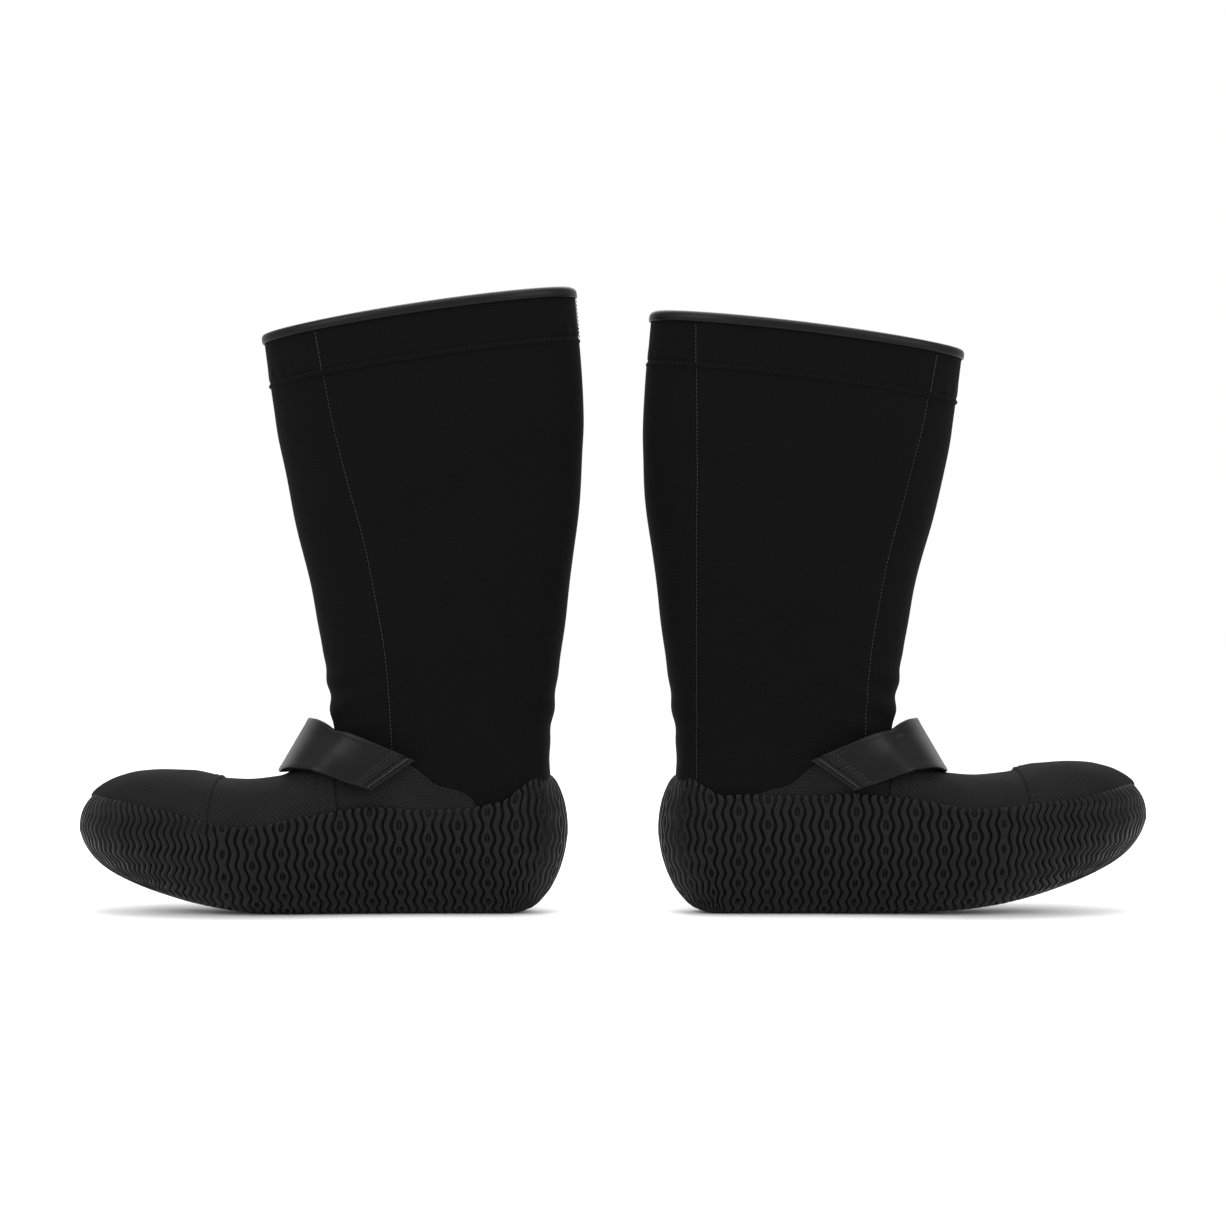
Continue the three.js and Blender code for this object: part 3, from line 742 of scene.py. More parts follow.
def near_edges(width: float, step: float, fine: Sequence[float] = (0, 0.25, 0.6, 1.1, 1.9)) -> Array:
    """Shares across a panel, with vertices close to both edges so that they can be rounded.

    Args:
        width: the panel's width in mm.
        step: the usual distance between vertices.
        fine: distances of the first vertices from an edge.

    Returns:
        Shares from 0 to 1.
    """
    start = np.array(fine) / width
    middle = np.linspace(start[-1], 1 - start[-1], max(int(width / step), 3))
    return np.concatenate([start[:-1], middle, 1 - start[:-1][::-1]])


def quarter_round(distance: Array, radius: float) -> Array:
    """How far a cloth edge of that radius has dropped, as a share, at a distance in from the edge."""
    t = np.clip(distance / radius, 0, 1)
    return 1 - np.sqrt(np.maximum(1 - (1 - t) ** 2, 0))


@dataclass
class NeopreneShaft:
    """The shaft's three glued panels, its cuff and the tape bound round its top, in mm."""

    form: BootForm
    panel_foot: float = 56
    panel_top: float = 29.5
    seam_radius: float = 2.0
    seam_drop: float = 1.5
    cuff_foot: float = 31.8
    cuff_top: float = 1.5
    ridge_height: float = 0.8
    ridge_width: float = 1.3
    tape: float = 1.2
    tape_height: float = 4.8
    joint_low: float = 104
    joint_high: float = 158

    def creases(self, points: Array) -> Array:
        """The soft unevenness of thick neoprene that has been flexed at the ankle."""
        x, y, z = points[..., 0], points[..., 1], points[..., 2]
        front = np.sin(2 * math.pi * (z + 0.35 * (x - 140)) / 19 + 0.02 * y)
        front = front * bump(z, 126, 20) * smoothstep(x, 85, 135)
        back = np.sin(2 * math.pi * (z - 0.4 * x) / 23 + 1.0) * bump(z, 116, 22) * (1 - smoothstep(x, 8, 45))
        long = np.sin(z / 29 + y / 23) * np.sin(x / 37 + 1.3 + z / 90)
        calf = np.sin(2 * math.pi * (z + 0.5 * x) / 74 + 0.7) * smoothstep(z, 150, 190)
        fade = 1 - smoothstep(z, self.form.top_front - 70, self.form.top_front - 40)
        return (0.85 * front + 0.65 * back + 0.6 * long + 0.5 * calf * fade) * smoothstep(z, 60, 85)

    def height(self, x: Array, share: Array) -> Array:
        """The height at a share of a panel's run."""
        return self.panel_foot + (self.form.top_edge(x) - self.panel_top - self.panel_foot) * share

    def panel(self, name: str, start: Line, stop: Line,
              width: float) -> tuple[bpy.types.Object, Array, Array]:
        """One panel between two seams.

        Args:
            name: the piece's name.
            start: the first seam's angle for each level.
            stop: the last seam's angle for each level.
            width: the panel's usual width in mm.

        Returns:
            The object, its outer grid and its normals.
        """
        form = self.form
        columns = near_edges(width, 2.6)
        rows = np.linspace(0, 1, 116)

        def turn(level: Array, share: Array) -> Array:
            """The angle at a share of the panel's width."""
            a, b = start(level), stop(level)
            return a + (b - a) * share

        base = form.on_shaft(self.height, turn, rows, columns)
        normals = facing(base, False, away_from(base, SHAFT_AXIS))
        run = path_lengths(base, 1)
        distance = np.minimum(run, run[:, -1:] - run)
        drop = self.seam_drop * quarter_round(distance, self.seam_radius)
        outer = base + normals * (self.creases(base) - drop)[..., None]
        inner = base - normals * form.neoprene
        made = shell_object(form, f"{form.side.word}_{name}", outer, inner)
        return made, outer, normals

    def build(self) -> dict[str, list[bpy.types.Object]]:
        """Every piece of the shaft.

        Returns:
            The pieces by finish.
        """
        form, word = self.form, self.form.side.word

        def front(level: Array) -> Array:
            """The front seam on the lateral side."""
            return form.seam_angle(level, form.front_seam)

        def back(level: Array) -> Array:
            """The back seam."""
            if form.back_seam is None:
                return np.full_like(np.asarray(level, float), math.pi)
            level = np.asarray(level, float)
            return form.seam_angle(level, lambda z: np.full_like(z, form.back_seam))

        shin, shin_face, shin_normals = self.panel("shin_cloth", lambda v: -front(v), front, 104)
        outer, outer_face, outer_normals = self.panel("lateral_cloth", front, back, 130)
        inner, _, _ = self.panel("medial_cloth", back, lambda v: 2 * math.pi - front(v), 130)
        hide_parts(f"{word}_shin_panel", f"{word}_ankle_gusset")
        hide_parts(f"{word}_lateral_panel", f"{word}_heel_panel")
        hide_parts(f"{word}_medial_panel")
        seam = Thread(pitch=2.3, length=1.9, radius=0.3)
        lift = self.seam_drop * 0.75
        runs = [(face[:, k] + normals[:, k] * lift, normals[:, k]) for face, normals, k in (
            (shin_face, shin_normals, 0), (shin_face, shin_normals, -1), (outer_face, outer_normals, -1))]
        sewn = seam.sew(form, f"{word}_seam_thread", runs)
        low = form.place(np.array([SHAFT_AXIS, 0, self.joint_low]))
        high = form.place(np.array([SHAFT_AXIS, 0, self.joint_high]))
        for piece in (shin, outer, inner, sewn):
            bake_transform(piece)
        cuff, cuff_thread, cuff_seams = self.cuff(front, back)
        binding = self.binding()
        return {"neoprene": [shin, outer, inner, cuff], "thread": [sewn, cuff_seams],
                "dark thread": [cuff_thread], "binding": [binding]}

    def cuff(self, front: Line, back: Line) -> tuple[bpy.types.Object, bpy.types.Object, bpy.types.Object]:
        """The band round the top with the stitched ridge at its lower edge.

        Args:
            front: the front seam's angle for each level.
            back: the back seam's angle for each level.

        Returns:
            The band, the thread round it and the seams that run up it.
        """
        form, word = self.form, self.form.side.word
        fine = np.array([0, 0.012, 0.03, 0.055, 0.08, 0.105, 0.13, 0.15, 0.17])
        rows = np.concatenate([fine, np.linspace(0.2, 1, 22)])
        columns = np.linspace(0, 1, 200, endpoint=False)
        deep = self.cuff_foot - self.cuff_top

        def height(x: Array, share: Array) -> Array:
            """The height at a share of the band's run."""
            return form.top_edge(x) - self.cuff_foot + deep * share

        def turn(level: Array, share: Array) -> Array:
            """Once round."""
            return 2 * math.pi * share + 0 * level

        base = form.on_shaft(height, turn, rows, columns)
        normals = facing(base, True, away_from(base, SHAFT_AXIS))
        up = rows[:, None] * deep + 0 * base[..., 0]
        over = (up - self.ridge_width) / self.ridge_width
        ridge = self.ridge_height * np.maximum(1 - over ** 2, 0) ** 0.5
        groove = -0.7 * bump(up, 2 * self.ridge_width + 0.6, 0.7)
        pull = 0.25 * np.sin(2 * math.pi * path_lengths(base, 1) / 9.0) * bump(up, 7, 4)
        raised = np.where(up < 2 * self.ridge_width, ridge, 0) + groove + pull + 0.2
        outer = base + normals * raised[..., None]
        made = shell_object(form, f"{word}_cuff", outer, base - normals * form.neoprene, wrap=True)
        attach(made, f"{word}_shaft")
        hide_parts(f"{word}_cuff_band")
        row = int(np.argmin(np.abs(up[:, 0] - 2 * self.ridge_width - 0.5)))
        round_normals = np.concatenate([normals[row], normals[row, :1]])
        loop = np.concatenate([outer[row], outer[row, :1]]) + 0.25 * round_normals
        sewn = Thread(pitch=3.2, length=2.4, radius=0.3).sew(
            form, f"{word}_cuff_thread", [(loop, round_normals)])
        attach(sewn, f"{word}_shaft")
        rows = np.linspace(0.06, 0.86, 14)
        runs = []
        for seam in (lambda v: -front(v), front, back):
            path = form.on_shaft(height, lambda v, share: seam(v) + 0 * share, rows, np.array([0.0]),
                                 grow=0.55)[:, 0]
            away = away_from(path, SHAFT_AXIS)
            runs.append((path, away / np.linalg.norm(away, axis=1, keepdims=True)))
        seams = Thread(pitch=2.3, length=1.9, radius=0.3).sew(form, f"{word}_cuff_seam_thread", runs)
        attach(seams, f"{word}_shaft")
        return made, sewn, seams

    def binding(self) -> bpy.types.Object:
        """The satin tape folded over the top edge, its end lapped over its start near the back."""
        form, word = self.form, self.form.side.word
        inside = -form.neoprene
        t = self.tape
        section = [(t, self.tape_height), (t + 0.25, self.tape_height - 0.6), (t + 0.3, 3.2), (t + 0.25, 1.6),
                   (t, 0.7), (t * 0.4, -0.4), (-1.0, -1.1), (inside / 2, -1.4), (inside + 1, -1.1),
                   (inside - t * 0.4, -0.4), (inside - t, 0.7), (inside - t - 0.2, 3.0),
                   (inside - t, self.tape_height)]
        out = np.array([s[0] for s in section])
        down = np.array([s[1] for s in section])
        lap = 0.022
        columns = np.concatenate([[0, 0.001, 0.003], np.linspace(0.006, 1 + lap - 0.003, 240),
                                  [1 + lap - 0.0006, 1 + lap]])
        raised = 1.15 * smoothstep(columns, 0.985, 0.998)
        drop = 0.9 * quarter_round((1 + lap - columns) * 440, 0.9)
        faces = []
        for thin in (0.0, 1.0):
            grid = np.empty((len(section), len(columns), 3))
            for i in range(len(section)):
                side = 1.0 if i < 6 else -1.0 if i > 8 else 0.0
                grow = out[i] - thin * side * (t - 0.1) + side * (raised - drop * (1 - thin))
                fold = 1 - abs(side)
                sink = down[i] + thin * fold * (t - 0.2) - fold * (raised - drop * (1 - thin))
                grid[i] = self.around(columns, grow, sink)
            faces.append(grid)
        made = shell_object(form, f"{word}_edge_binding", faces[0], faces[1])
        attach(made, f"{word}_shaft")
        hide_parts(f"{word}_top_binding")
        return made

    def around(self, columns: Array, grow: Array, sink: Array) -> Array:
        """Points round the top at distances outside the face and below the top edge.

        Args:
            columns: shares of a turn, from the back.
            grow: distance outside the face for each column.
            sink: distance below the top edge for each column.

        Returns:
            The points, n by 3.
        """
        form = self.form
        angle = math.pi + 0.35 + 2 * math.pi * columns
        level = form.find_level(lambda v: angle, lambda x: form.top_edge(x) - sink, columns.shape)
        here = form.shaft_ring(level, angle)
        ahead, behind = form.shaft_ring(level, angle + 0.01), form.shaft_ring(level, angle - 0.01)
        way = ahead - behind
        normal = np.stack([-way[:, 1], way[:, 0], 0 * way[:, 0]], axis=-1)
        normal /= np.linalg.norm(normal, axis=-1, keepdims=True)
        normal *= np.sign(np.sum(normal * away_from(here, TOP_AXIS), axis=-1, keepdims=True))
        return here + normal * grow[:, None]


@dataclass
class WovenFoot:
    """The woven overlays on the foot: the toe cap, the vamp and the two quarters, in mm."""

    form: BootForm
    cloth: float = 1.8
    vamp_lift: float = 1.2
    cap_lift: float = 2.4
    quarter_lift: float = 0.7
    edge_radius: float = 1.2
    toe_seam: float = 207
    tip: float = 281
    cap_stitches: tuple[float, float] = (2.2, 6.4)  # distances in front of the toe seam
    vamp_rows: tuple[int, int] = (6, 9)             # rows of the vamp that are stitched
    quarter_row: int = 5                            # row of a quarter that is stitched

    def over_foot(self, name: str, rear: Callable[[Array], Array], front: Callable[[Array], Array],
                  lift: float, soft_front: bool) -> tuple[bpy.types.Object, Array, Array]:
        """A patch that goes over the foot from rubber to rubber.

        Args:
            name: the piece's name.
            rear: its rear edge, x from the place across.
            front: its front edge, x from the place across.
            lift: height of its face over the last.
            soft_front: whether the front edge is cut and rounded in sight.

        Returns:
            The object, its outer grid and its normals.
        """
        form = self.form
        across = np.sin(np.linspace(-math.pi / 2, math.pi / 2, 71)) * 0.35 + np.linspace(-1, 1, 71) * 0.65
        rows = near_edges(70, 1.5, (0, 0.2, 0.5, 0.9, 1.4))
        v, u = np.meshgrid(rows, across, indexing="ij")
        x = rear(u) + (front(u) - rear(u)) * v
        base = form.arch(x, u)
        normals = facing(base, False, base - np.array([210, 0, 40]))
        run = path_lengths(base, 0)
        distance = np.minimum(run, run[-1:] - run) if soft_front else run
        drop = min(lift, 1.3) * quarter_round(distance, self.edge_radius)
        wave = 0.25 * np.sin(x / 9.0 + u * 3) * np.sin(u * 9 + x / 21)
        outer = base + normals * (lift + wave - drop)[..., None]
        inner = base + normals * (lift - self.cloth - 1.2)
        made = shell_object(form, f"{form.side.word}_{name}", outer, inner)
        return made, outer, normals

    def quarter(self, side: int) -> tuple[bpy.types.Object, Array, Array]:
        """The overlay on one side of the foot, from the heel to under the vamp.

        Args:
            side: -1 on the lateral side, 1 on the medial side.

        Returns:
            The object, its outer grid and its normals.
        """
        form = self.form
        top_line = smooth_line([
            (51, 58), (54, 68), (62, 73.5), (75, 77), (88, 87), (105, 97), (125, 103), (142, 98)])
        x_line = 51 + near_edges(88, 1.6) * 88
        v, x = np.meshgrid(near_edges(40, 1.8)[:-2], x_line, indexing="ij")
        v = 1 - v / v.max()
        foot = form.rim_height(x) - 9
        top = np.maximum(np.minimum(top_line(x), form.foot_top(x) - 4), foot + 1)
        z = foot + (top - foot) * v
        out = form.side_out(x, z)
        base = np.stack([x, form.centre(x) + side * out, z], axis=-1)
        normals = facing(base, False, np.array([0, side, 0]))
        distance = np.minimum(path_lengths(base, 0), path_lengths(base, 1))
        drop = self.quarter_lift * quarter_round(distance, self.edge_radius)
        outer = base + normals * (self.quarter_lift - drop)[..., None]
        inner = base + normals * (self.quarter_lift - self.cloth)
        word = "lateral" if side < 0 else "medial"
        return shell_object(form, f"{form.side.word}_quarter_{word}_cloth", outer, inner), outer, normals

    def build(self) -> dict[str, list[bpy.types.Object]]:
        """Every overlay and its stitching.

        Returns:
            The pieces by finish.
        """
        form, word = self.form, self.form.side.word
        lifted = form.toe_lift

        def vamp_rear(u: Array) -> Array:
            """The vamp's rear edge."""
            return 132 + 7.5 * (1 - np.abs(u)) ** 0.8

        def seam(u: Array) -> Array:
            """The toe seam."""
            return self.toe_seam - 2 * (1 - np.abs(u)) + lifted

        vamp, vamp_face, vamp_normals = self.over_foot("vamp_cloth", vamp_rear, lambda u: seam(u) + 6,
                                                       self.vamp_lift, False)
        cap, cap_face, cap_normals = self.over_foot("toe_cap_cloth", seam, lambda u: self.tip + 0 * u,
                                                    self.cap_lift, False)
        pieces, runs = [vamp, cap], []
        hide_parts(f"{word}_vamp")
        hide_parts(f"{word}_toe_cap")
        middle = cap_face.shape[1] // 2
        rows = np.linalg.norm(np.diff(cap_face[:, middle], axis=0), axis=-1).cumsum()
        cap_rows = [int(np.searchsorted(rows, distance)) for distance in self.cap_stitches]
        runs += [(cap_face[row], cap_normals[row]) for row in cap_rows]
        runs += [(vamp_face[row], vamp_normals[row]) for row in self.vamp_rows]
        for side, name in ((-1, "lateral"), (1, "medial")):
            piece, face, normals = self.quarter(side)
            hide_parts(f"{word}_quarter_{name}")
            pieces.append(piece)
            runs.append((face[self.quarter_row], normals[self.quarter_row]))
        sewn = Thread(pitch=3.3, length=2.5, radius=0.26).sew(form, f"{word}_foot_thread", runs)
        for piece in pieces:
            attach(piece, f"{word}_foot")
        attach(sewn, f"{word}_foot")
        return {"woven": pieces, "dark thread": [sewn]}


# ---------------------------------------------------------------- the strap


@dataclass
class InstepStrap:
    """The webbing strap over the instep with its hook and loop closure on the lateral side, in mm."""

    form: BootForm
    end_low: tuple[float, float] = (114.6, 73.7)
    end_high: tuple[float, float] = (88.5, 92)
    ridge_high: tuple[float, float] = (145, 115)
    ridge_low: tuple[float, float] = (163.5, 87.5)
    webbing: float = 2.5
    patch: float = 1.6
    tab: float = 2.0
    gap: float = 0.3
    over_ridge: float = 8.4
    inner_fall: float = 9.0
    inner_slant: float = 16.0
    inner_drop: float = 5.9
    bend_start: float = 6.0      # y of a point on the ridge, at the strap's middle
    bend_end: float = -9.0       # and of a second such point
    end_stitches: tuple[int, int] = (7, 9)  # columns that are stitched near the lateral end

    def side_view(self, t: Array, w: Array) -> tuple[Array, Array]:
        """The place in the side view at a share t from the end to the ridge and w from the rear edge."""
        corner = [np.array(p) for p in (self.end_high, self.end_low, self.ridge_high, self.ridge_low)]
        t, w = np.asarray(t, float)[..., None], np.asarray(w, float)[..., None]
        point = (corner[0] * (1 - w) + corner[1] * w) * (1 - t) + (corner[2] * (1 - w) + corner[3] * w) * t
        return point[..., 0], point[..., 1]

    def ribbon(self, runs: Array, widths: Array, lift: float) -> Array:
        """A grid on the strap's way over the foot.

        Args:
            runs: shares along it, 0 at the lateral end, 1 on the ridge and 2 at the same place on the
                medial side.
            widths: shares across it from the rear edge.
            lift: height over the upper where the strap lies on it.

        Returns:
            The grid, widths by runs by 3.
        """
        form = self.form
        knots = np.array([-0.2, 0, 0.2, 0.4, 0.58, 0.72, 0.8])
        grid = np.empty((len(widths), len(runs), 3))
        folded = 1 - np.abs(1 - runs)
        for i, w in enumerate(widths):
            over = self.over_ridge * (0.5 + 0.5 * w)
            for side, fall, slant in ((-1, 0.0, 0.0), (1, self.inner_fall, self.inner_slant)):
                kx, kz = self.side_view(knots, np.full_like(knots, w))
                lowered = kz - fall * smoothstep(1 - knots, 0.0, 0.3) - slant * (1 - knots)
                out = form.side_out(kx, lowered) + lift
                last = out[-2]
                stops = np.concatenate([knots[:-1], [0.82, 0.92, 1.0, 1.08]])
                values = np.concatenate([out[:-1], [last * 0.86, last * 0.5, 0, -last * 0.5]])
                reach = smooth_line(list(zip(stops, values)))
                x, z = self.side_view(folded, np.full_like(folded, w))
                z = z - over * smoothstep(folded, 0.5, 1.0) - fall * smoothstep(1 - folded, 0.0, 0.3)
                z = z - slant * (1 - folded)
                z = z + 2.4 * bump(folded, 0.86, 0.15) - 1.2 * bump(folded, 1.0, 0.07)
                here = np.stack([x, form.centre(x) + side * reach(folded), z], axis=-1)
                mine = runs < 1 if side < 0 else runs >= 1
                grid[i, mine] = here[mine]
        return grid

    def band(self, name: str, runs: Array, widths: Array, low: float, high: float,
             edge: float = 0.9) -> tuple[bpy.types.Object, Array, Array]:
        """A flat length of tape on the strap's way.

        Args:
            name: the piece's name.
            runs: shares along the strap.
            widths: shares across the strap.
            low: height of its under face over the upper.
            high: height of its upper face.
            edge: radius of its edges.

        Returns:
            The object, its upper grid and its normals.
        """
        form = self.form
        base = self.ribbon(runs, widths, 0.0)
        normals = facing(base, False, base - np.array([140, 0, 60]))
        across, along = path_lengths(base, 0), path_lengths(base, 1)
        sideways = np.minimum(across, across[-1:] - across)
        distance = np.minimum(sideways, np.minimum(along, along[:, -1:] - along))
        drop = edge * quarter_round(distance, edge)
        selvedge = 0.25 * bump(sideways, 2.2, 0.9)
        settle = self.inner_drop * smoothstep(runs, 1.05, 1.4)[None, :]
        outer = base + normals * (high - drop + selvedge - settle)[..., None]
        inner = base + normals * (low + 0.6 * drop - settle)[..., None]
        made = shell_object(form, f"{form.side.word}_{name}", outer, inner)
        return made, outer, normals

    def build(self) -> dict[str, list[bpy.types.Object]]:
        """The strap, its closure, its anchor and its stitching.

        Returns:
            The pieces by finish.
        """
        form, word = self.form, self.form.side.word
        tab_low = self.gap + 1.0
        tab_high = tab_low + self.tab
        loop_high = tab_high + self.gap + self.patch
        hook_high = loop_high + self.gap + self.patch
        strap_low = hook_high + self.gap
        strap_high = strap_low + self.webbing
        widths = near_edges(40, 1.5, (0, 0.2, 0.5, 0.9, 1.6))
        foot, flap = f"{word}_foot", f"{word}_flap"
        strap, face, normals = self.band("strap_webbing", 0.09 + near_edges(220, 1.9) * 2.0, widths,
                                         strap_low, strap_high)
        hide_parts(f"{word}_strap_flap", f"{word}_strap_band")
        x, z = self.side_view(1.0, 0.5)
        start = form.place(np.array([float(x), self.bend_start, float(z)]))
        end = form.place(np.array([float(x), self.bend_end, float(z)]))
        sewn_rows = [(face[:, k], normals[:, k]) for k in self.end_stitches]
        sewn = Thread(pitch=2.9, length=2.2, radius=0.24).sew(form, f"{word}_strap_thread", sewn_rows)
        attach(sewn, flap)
        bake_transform(strap)
        short = near_edges(40, 1.8) * 0.42
        turned, _, _ = self.band("strap_turned_end", 0.06 + short * 0.62, widths[3:-3],
                                 hook_high - 0.2, strap_low + 0.4)
        hook, _, _ = self.band("strap_hook_tape", 0.035 + short * 0.8, widths[4:-4],
                               loop_high + self.gap, hook_high, 0.4)
        loop, _, _ = self.band("strap_loop_tape", 0.01 + short * 0.9, widths[3:-3],
                               tab_high + self.gap, loop_high, 0.5)
        tab, _, _ = self.band("strap_end_tab", short - 0.02, widths[2:-2], tab_low, tab_high, 0.7)
        anchor, _, _ = self.band("strap_inner_anchor", 1.5 + near_edges(30, 2) * 0.36, widths[2:-2],
                                 strap_high - 0.1, strap_high + 1.2, 0.6)
        for piece, node, body, slot in ((hook, "hook_patch", flap, "hook_tape"),
                                        (loop, "loop_patch", foot, "loop_tape"),
                                        (tab, "strap_tab", foot, "strap_tape"),
                                        (anchor, "strap_anchor", foot, "strap_tape")):
            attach(piece, body)
            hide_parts(f"{word}_{node}")
        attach(turned, flap)
        return {"strap": [strap, turned, tab, anchor], "hook": [hook], "loop": [loop], "thread": [sewn]}


# ---------------------------------------------------------------- inside the boot


@dataclass
class InnerSole:
    """The lasting board and the footbed, seen only down the shaft, in mm."""

    sole: RubberSole
    board: float = 3.5
    footbed: float = 4.5
    side_gap: float = 1.2
    width_share: float = 0.74

    @property
    def form(self) -> BootForm:
        """The boot's shape."""
        return self.sole.form

    def sheet(self, name: str, low: float, high: float, inset: float, dish: float) -> bpy.types.Object:
        """A flat insole shape.

        Args:
            name: the piece's name.
            low: height of its under face over the sole's underside.
            high: height of its upper face.
            inset: distance inside the sole's outline.
            dish: how much its upper face is sunk along the middle.

        Returns:
            The object.
        """
        form = self.form
        turn = np.linspace(0.02, math.pi - 0.02, 90)
        x = 14 + inset + (form.length - 42 - 2 * inset) * (1 - np.cos(turn)) / 2
        share = near_edges(70, 3.0, (0, 0.3, 0.8, 1.6)) * 2 - 1
        s, v = np.meshgrid(share, x, indexing="ij")
        half = np.maximum(form.sole_half(v) * self.width_share - inset, 0.5)
        y = form.centre(v) + half * s
        ground = self.sole.under_height(v, y)
        edge = quarter_round((1 - np.abs(s)) * half, 1.2)
        top = ground + high - edge - dish * (1 - s**2)
        outer = np.stack([v, y, top], axis=-1)
        inner = np.stack([v, y, np.minimum(ground + low, top - 0.6)], axis=-1)
        return shell_object(form, f"{form.side.word}_{name}", outer, inner)

    def build(self) -> dict[str, list[bpy.types.Object]]:
        """Both layers.

        Returns:
            The pieces by finish.
        """
        form, word = self.form, self.form.side.word
        floor = form.sole_thickness + 1.0
        board = self.sheet("insole_board", floor, floor + self.board, self.side_gap, 0.0)
        bed = self.sheet("foam_footbed", floor + self.board + 0.3, floor + self.board + 0.3 + self.footbed,
                         self.side_gap, 0.8)
        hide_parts(f"{word}_lasting_board")
        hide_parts(f"{word}_footbed")
        for piece in (board, bed):
            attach(piece, f"{word}_foot")
        return {"board": [board], "footbed": [bed]}


# ---------------------------------------------------------------- materials


def linear(code: str) -> tuple[float, float, float, float]:
    """An sRGB hex colour as linear red, green, blue and alpha."""
    parts = [int(code[i:i + 2], 16) / 255 for i in (1, 3, 5)]
    return tuple(p / 12.92 if p <= 0.04045 else ((p + 0.055) / 1.055) ** 2.4 for p in parts) + (1.0,)


def add_node(tree: bpy.types.NodeTree, kind: str, settings: Optional[dict] = None,
             links: Optional[dict] = None) -> bpy.types.Node:
    """Adds one node to a material.

    Args:
        tree: the material's node tree.
        kind: the node's type.
        settings: values by attribute or input name.
        links: sockets by input name.

    Returns:
        The node.
    """
    node = tree.nodes.new(kind)
    for key, value in (settings or {}).items():
        if isinstance(key, int) or key in node.inputs:
            node.inputs[key].default_value = value
        else:
            setattr(node, key, value)
    for key, socket in (links or {}).items():
        tree.links.new(socket, node.inputs[key])
    return node


class Pattern(Enum):
    """How a finish breaks up its surface."""

    KNIT = "knit"
    CROSS_WEAVE = "cross weave"
    WEBBING = "webbing"
    SATIN = "satin weave"
    PILE = "pile"
    MOULDED = "moulded"
    FOAM = "foam"
    PLAIN = "plain"


# A basket weave lies on the diagonal, in radians, and these weaves are coarser lengthwise by a share.
DIAGONAL = 0.78
LENGTHWISE = {Pattern.WEBBING: 0.55, Pattern.SATIN: 0.4}


@dataclass(frozen=True)
class Finish:
    """One real material and how its surface was made."""

    name: str
    light: str
    dark: str
    roughness: float
    pattern: Pattern
    spacing: float
    depth: float
    sheen: float = 0.0
    sheen_roughness: float = 0.5
    ior: float = 1.5
    specular: float = 0.5

    def surface(self, tree: bpy.types.NodeTree) -> tuple[bpy.types.NodeSocket, bpy.types.NodeSocket]:
        """The nodes that give the pattern's height, 0 to 1, and its slow mottle.

        Args:
            tree: the material's node tree.

        Returns:
            The height's socket and the mottle's socket.
        """
        uv = add_node(tree, "ShaderNodeUVMap", {"uv_map": "cloth"}).outputs["UV"]
        place = add_node(tree, "ShaderNodeTexCoord").outputs["Object"]
        per_metre = 1000 / self.spacing
        mottle = add_node(tree, "ShaderNodeTexNoise", {"Scale": 38.0, "Detail": 3.0},
                          {"Vector": place}).outputs["Fac"]
        if self.pattern in (Pattern.CROSS_WEAVE, Pattern.WEBBING, Pattern.SATIN, Pattern.KNIT):
            turn = DIAGONAL if self.pattern is Pattern.CROSS_WEAVE else 0.0
            spun = add_node(tree, "ShaderNodeMapping", {"Rotation": (0.0, 0.0, turn)},
                            {"Vector": uv}).outputs[0]
            waves = []
            for axis, factor in (("X", 1.0), ("Y", LENGTHWISE.get(self.pattern, 1.0))):
                waves.append(add_node(tree, "ShaderNodeTexWave",
                                      {"bands_direction": axis, "Scale": per_metre * factor / 20 * math.pi,
                                       "Distortion": 0.15}, {"Vector": spun}).outputs["Fac"])
            return add_node(tree, "ShaderNodeMath", {"operation": "MULTIPLY"},
                            {0: waves[0], 1: waves[1]}).outputs[0], mottle
        if self.pattern is Pattern.PILE:
            cells = add_node(tree, "ShaderNodeTexVoronoi", {"Scale": per_metre}, {"Vector": place})
            return cells.outputs["Distance"], mottle
        grain = add_node(tree, "ShaderNodeTexNoise", {"Scale": per_metre, "Detail": 4.0, "Roughness": 0.6},
                         {"Vector": place}).outputs["Fac"]
        return grain, mottle

    def material(self) -> bpy.types.Material:
        """Builds the material."""
        made = bpy.data.materials.new(self.name)
        made.use_nodes = True
        tree = made.node_tree
        shader = tree.nodes["Principled BSDF"]
        height, mottle = self.surface(tree)
        mixed = add_node(tree, "ShaderNodeMath", {"operation": "MULTIPLY_ADD", 1: 0.55, 2: 0.0},
                         {0: height}).outputs[0]
        share = add_node(tree, "ShaderNodeMath", {"operation": "MULTIPLY_ADD", 1: 0.45, "use_clamp": True},
                         {0: mottle, 2: mixed}).outputs[0]
        ramp = add_node(tree, "ShaderNodeValToRGB", links={"Fac": share})
        for stop, position, code in zip(ramp.color_ramp.elements, (0.2, 0.75), (self.dark, self.light)):
            stop.position, stop.color = position, linear(code)
        colour = ramp.outputs["Color"]
        if self.pattern is Pattern.MOULDED:
            # Painted shade: where the relief share falls to 0, on the groove floors, the colour is mixed
            # towards near black, and the rib tops keep the ramp's colour.
            relief = add_node(tree, "ShaderNodeAttribute", {"attribute_name": "relief"}).outputs["Fac"]
            shade = add_node(tree, "ShaderNodeMix", {"data_type": "RGBA"}, {0: relief, 7: colour})
            shade.inputs[6].default_value = linear("#010101")
            colour = shade.outputs[2]
        tree.links.new(colour, shader.inputs["Base Color"])
        shader.inputs["Roughness"].default_value = self.roughness
        shader.inputs["IOR"].default_value = self.ior
        shader.inputs["Specular IOR Level"].default_value = self.specular
        shader.inputs["Sheen Weight"].default_value = self.sheen
        shader.inputs["Sheen Roughness"].default_value = self.sheen_roughness
        raised = add_node(tree, "ShaderNodeBump", {"Strength": 0.6, "Distance": self.depth * MM},
                          {"Height": height})
        tree.links.new(raised.outputs["Normal"], shader.inputs["Normal"])
        return made


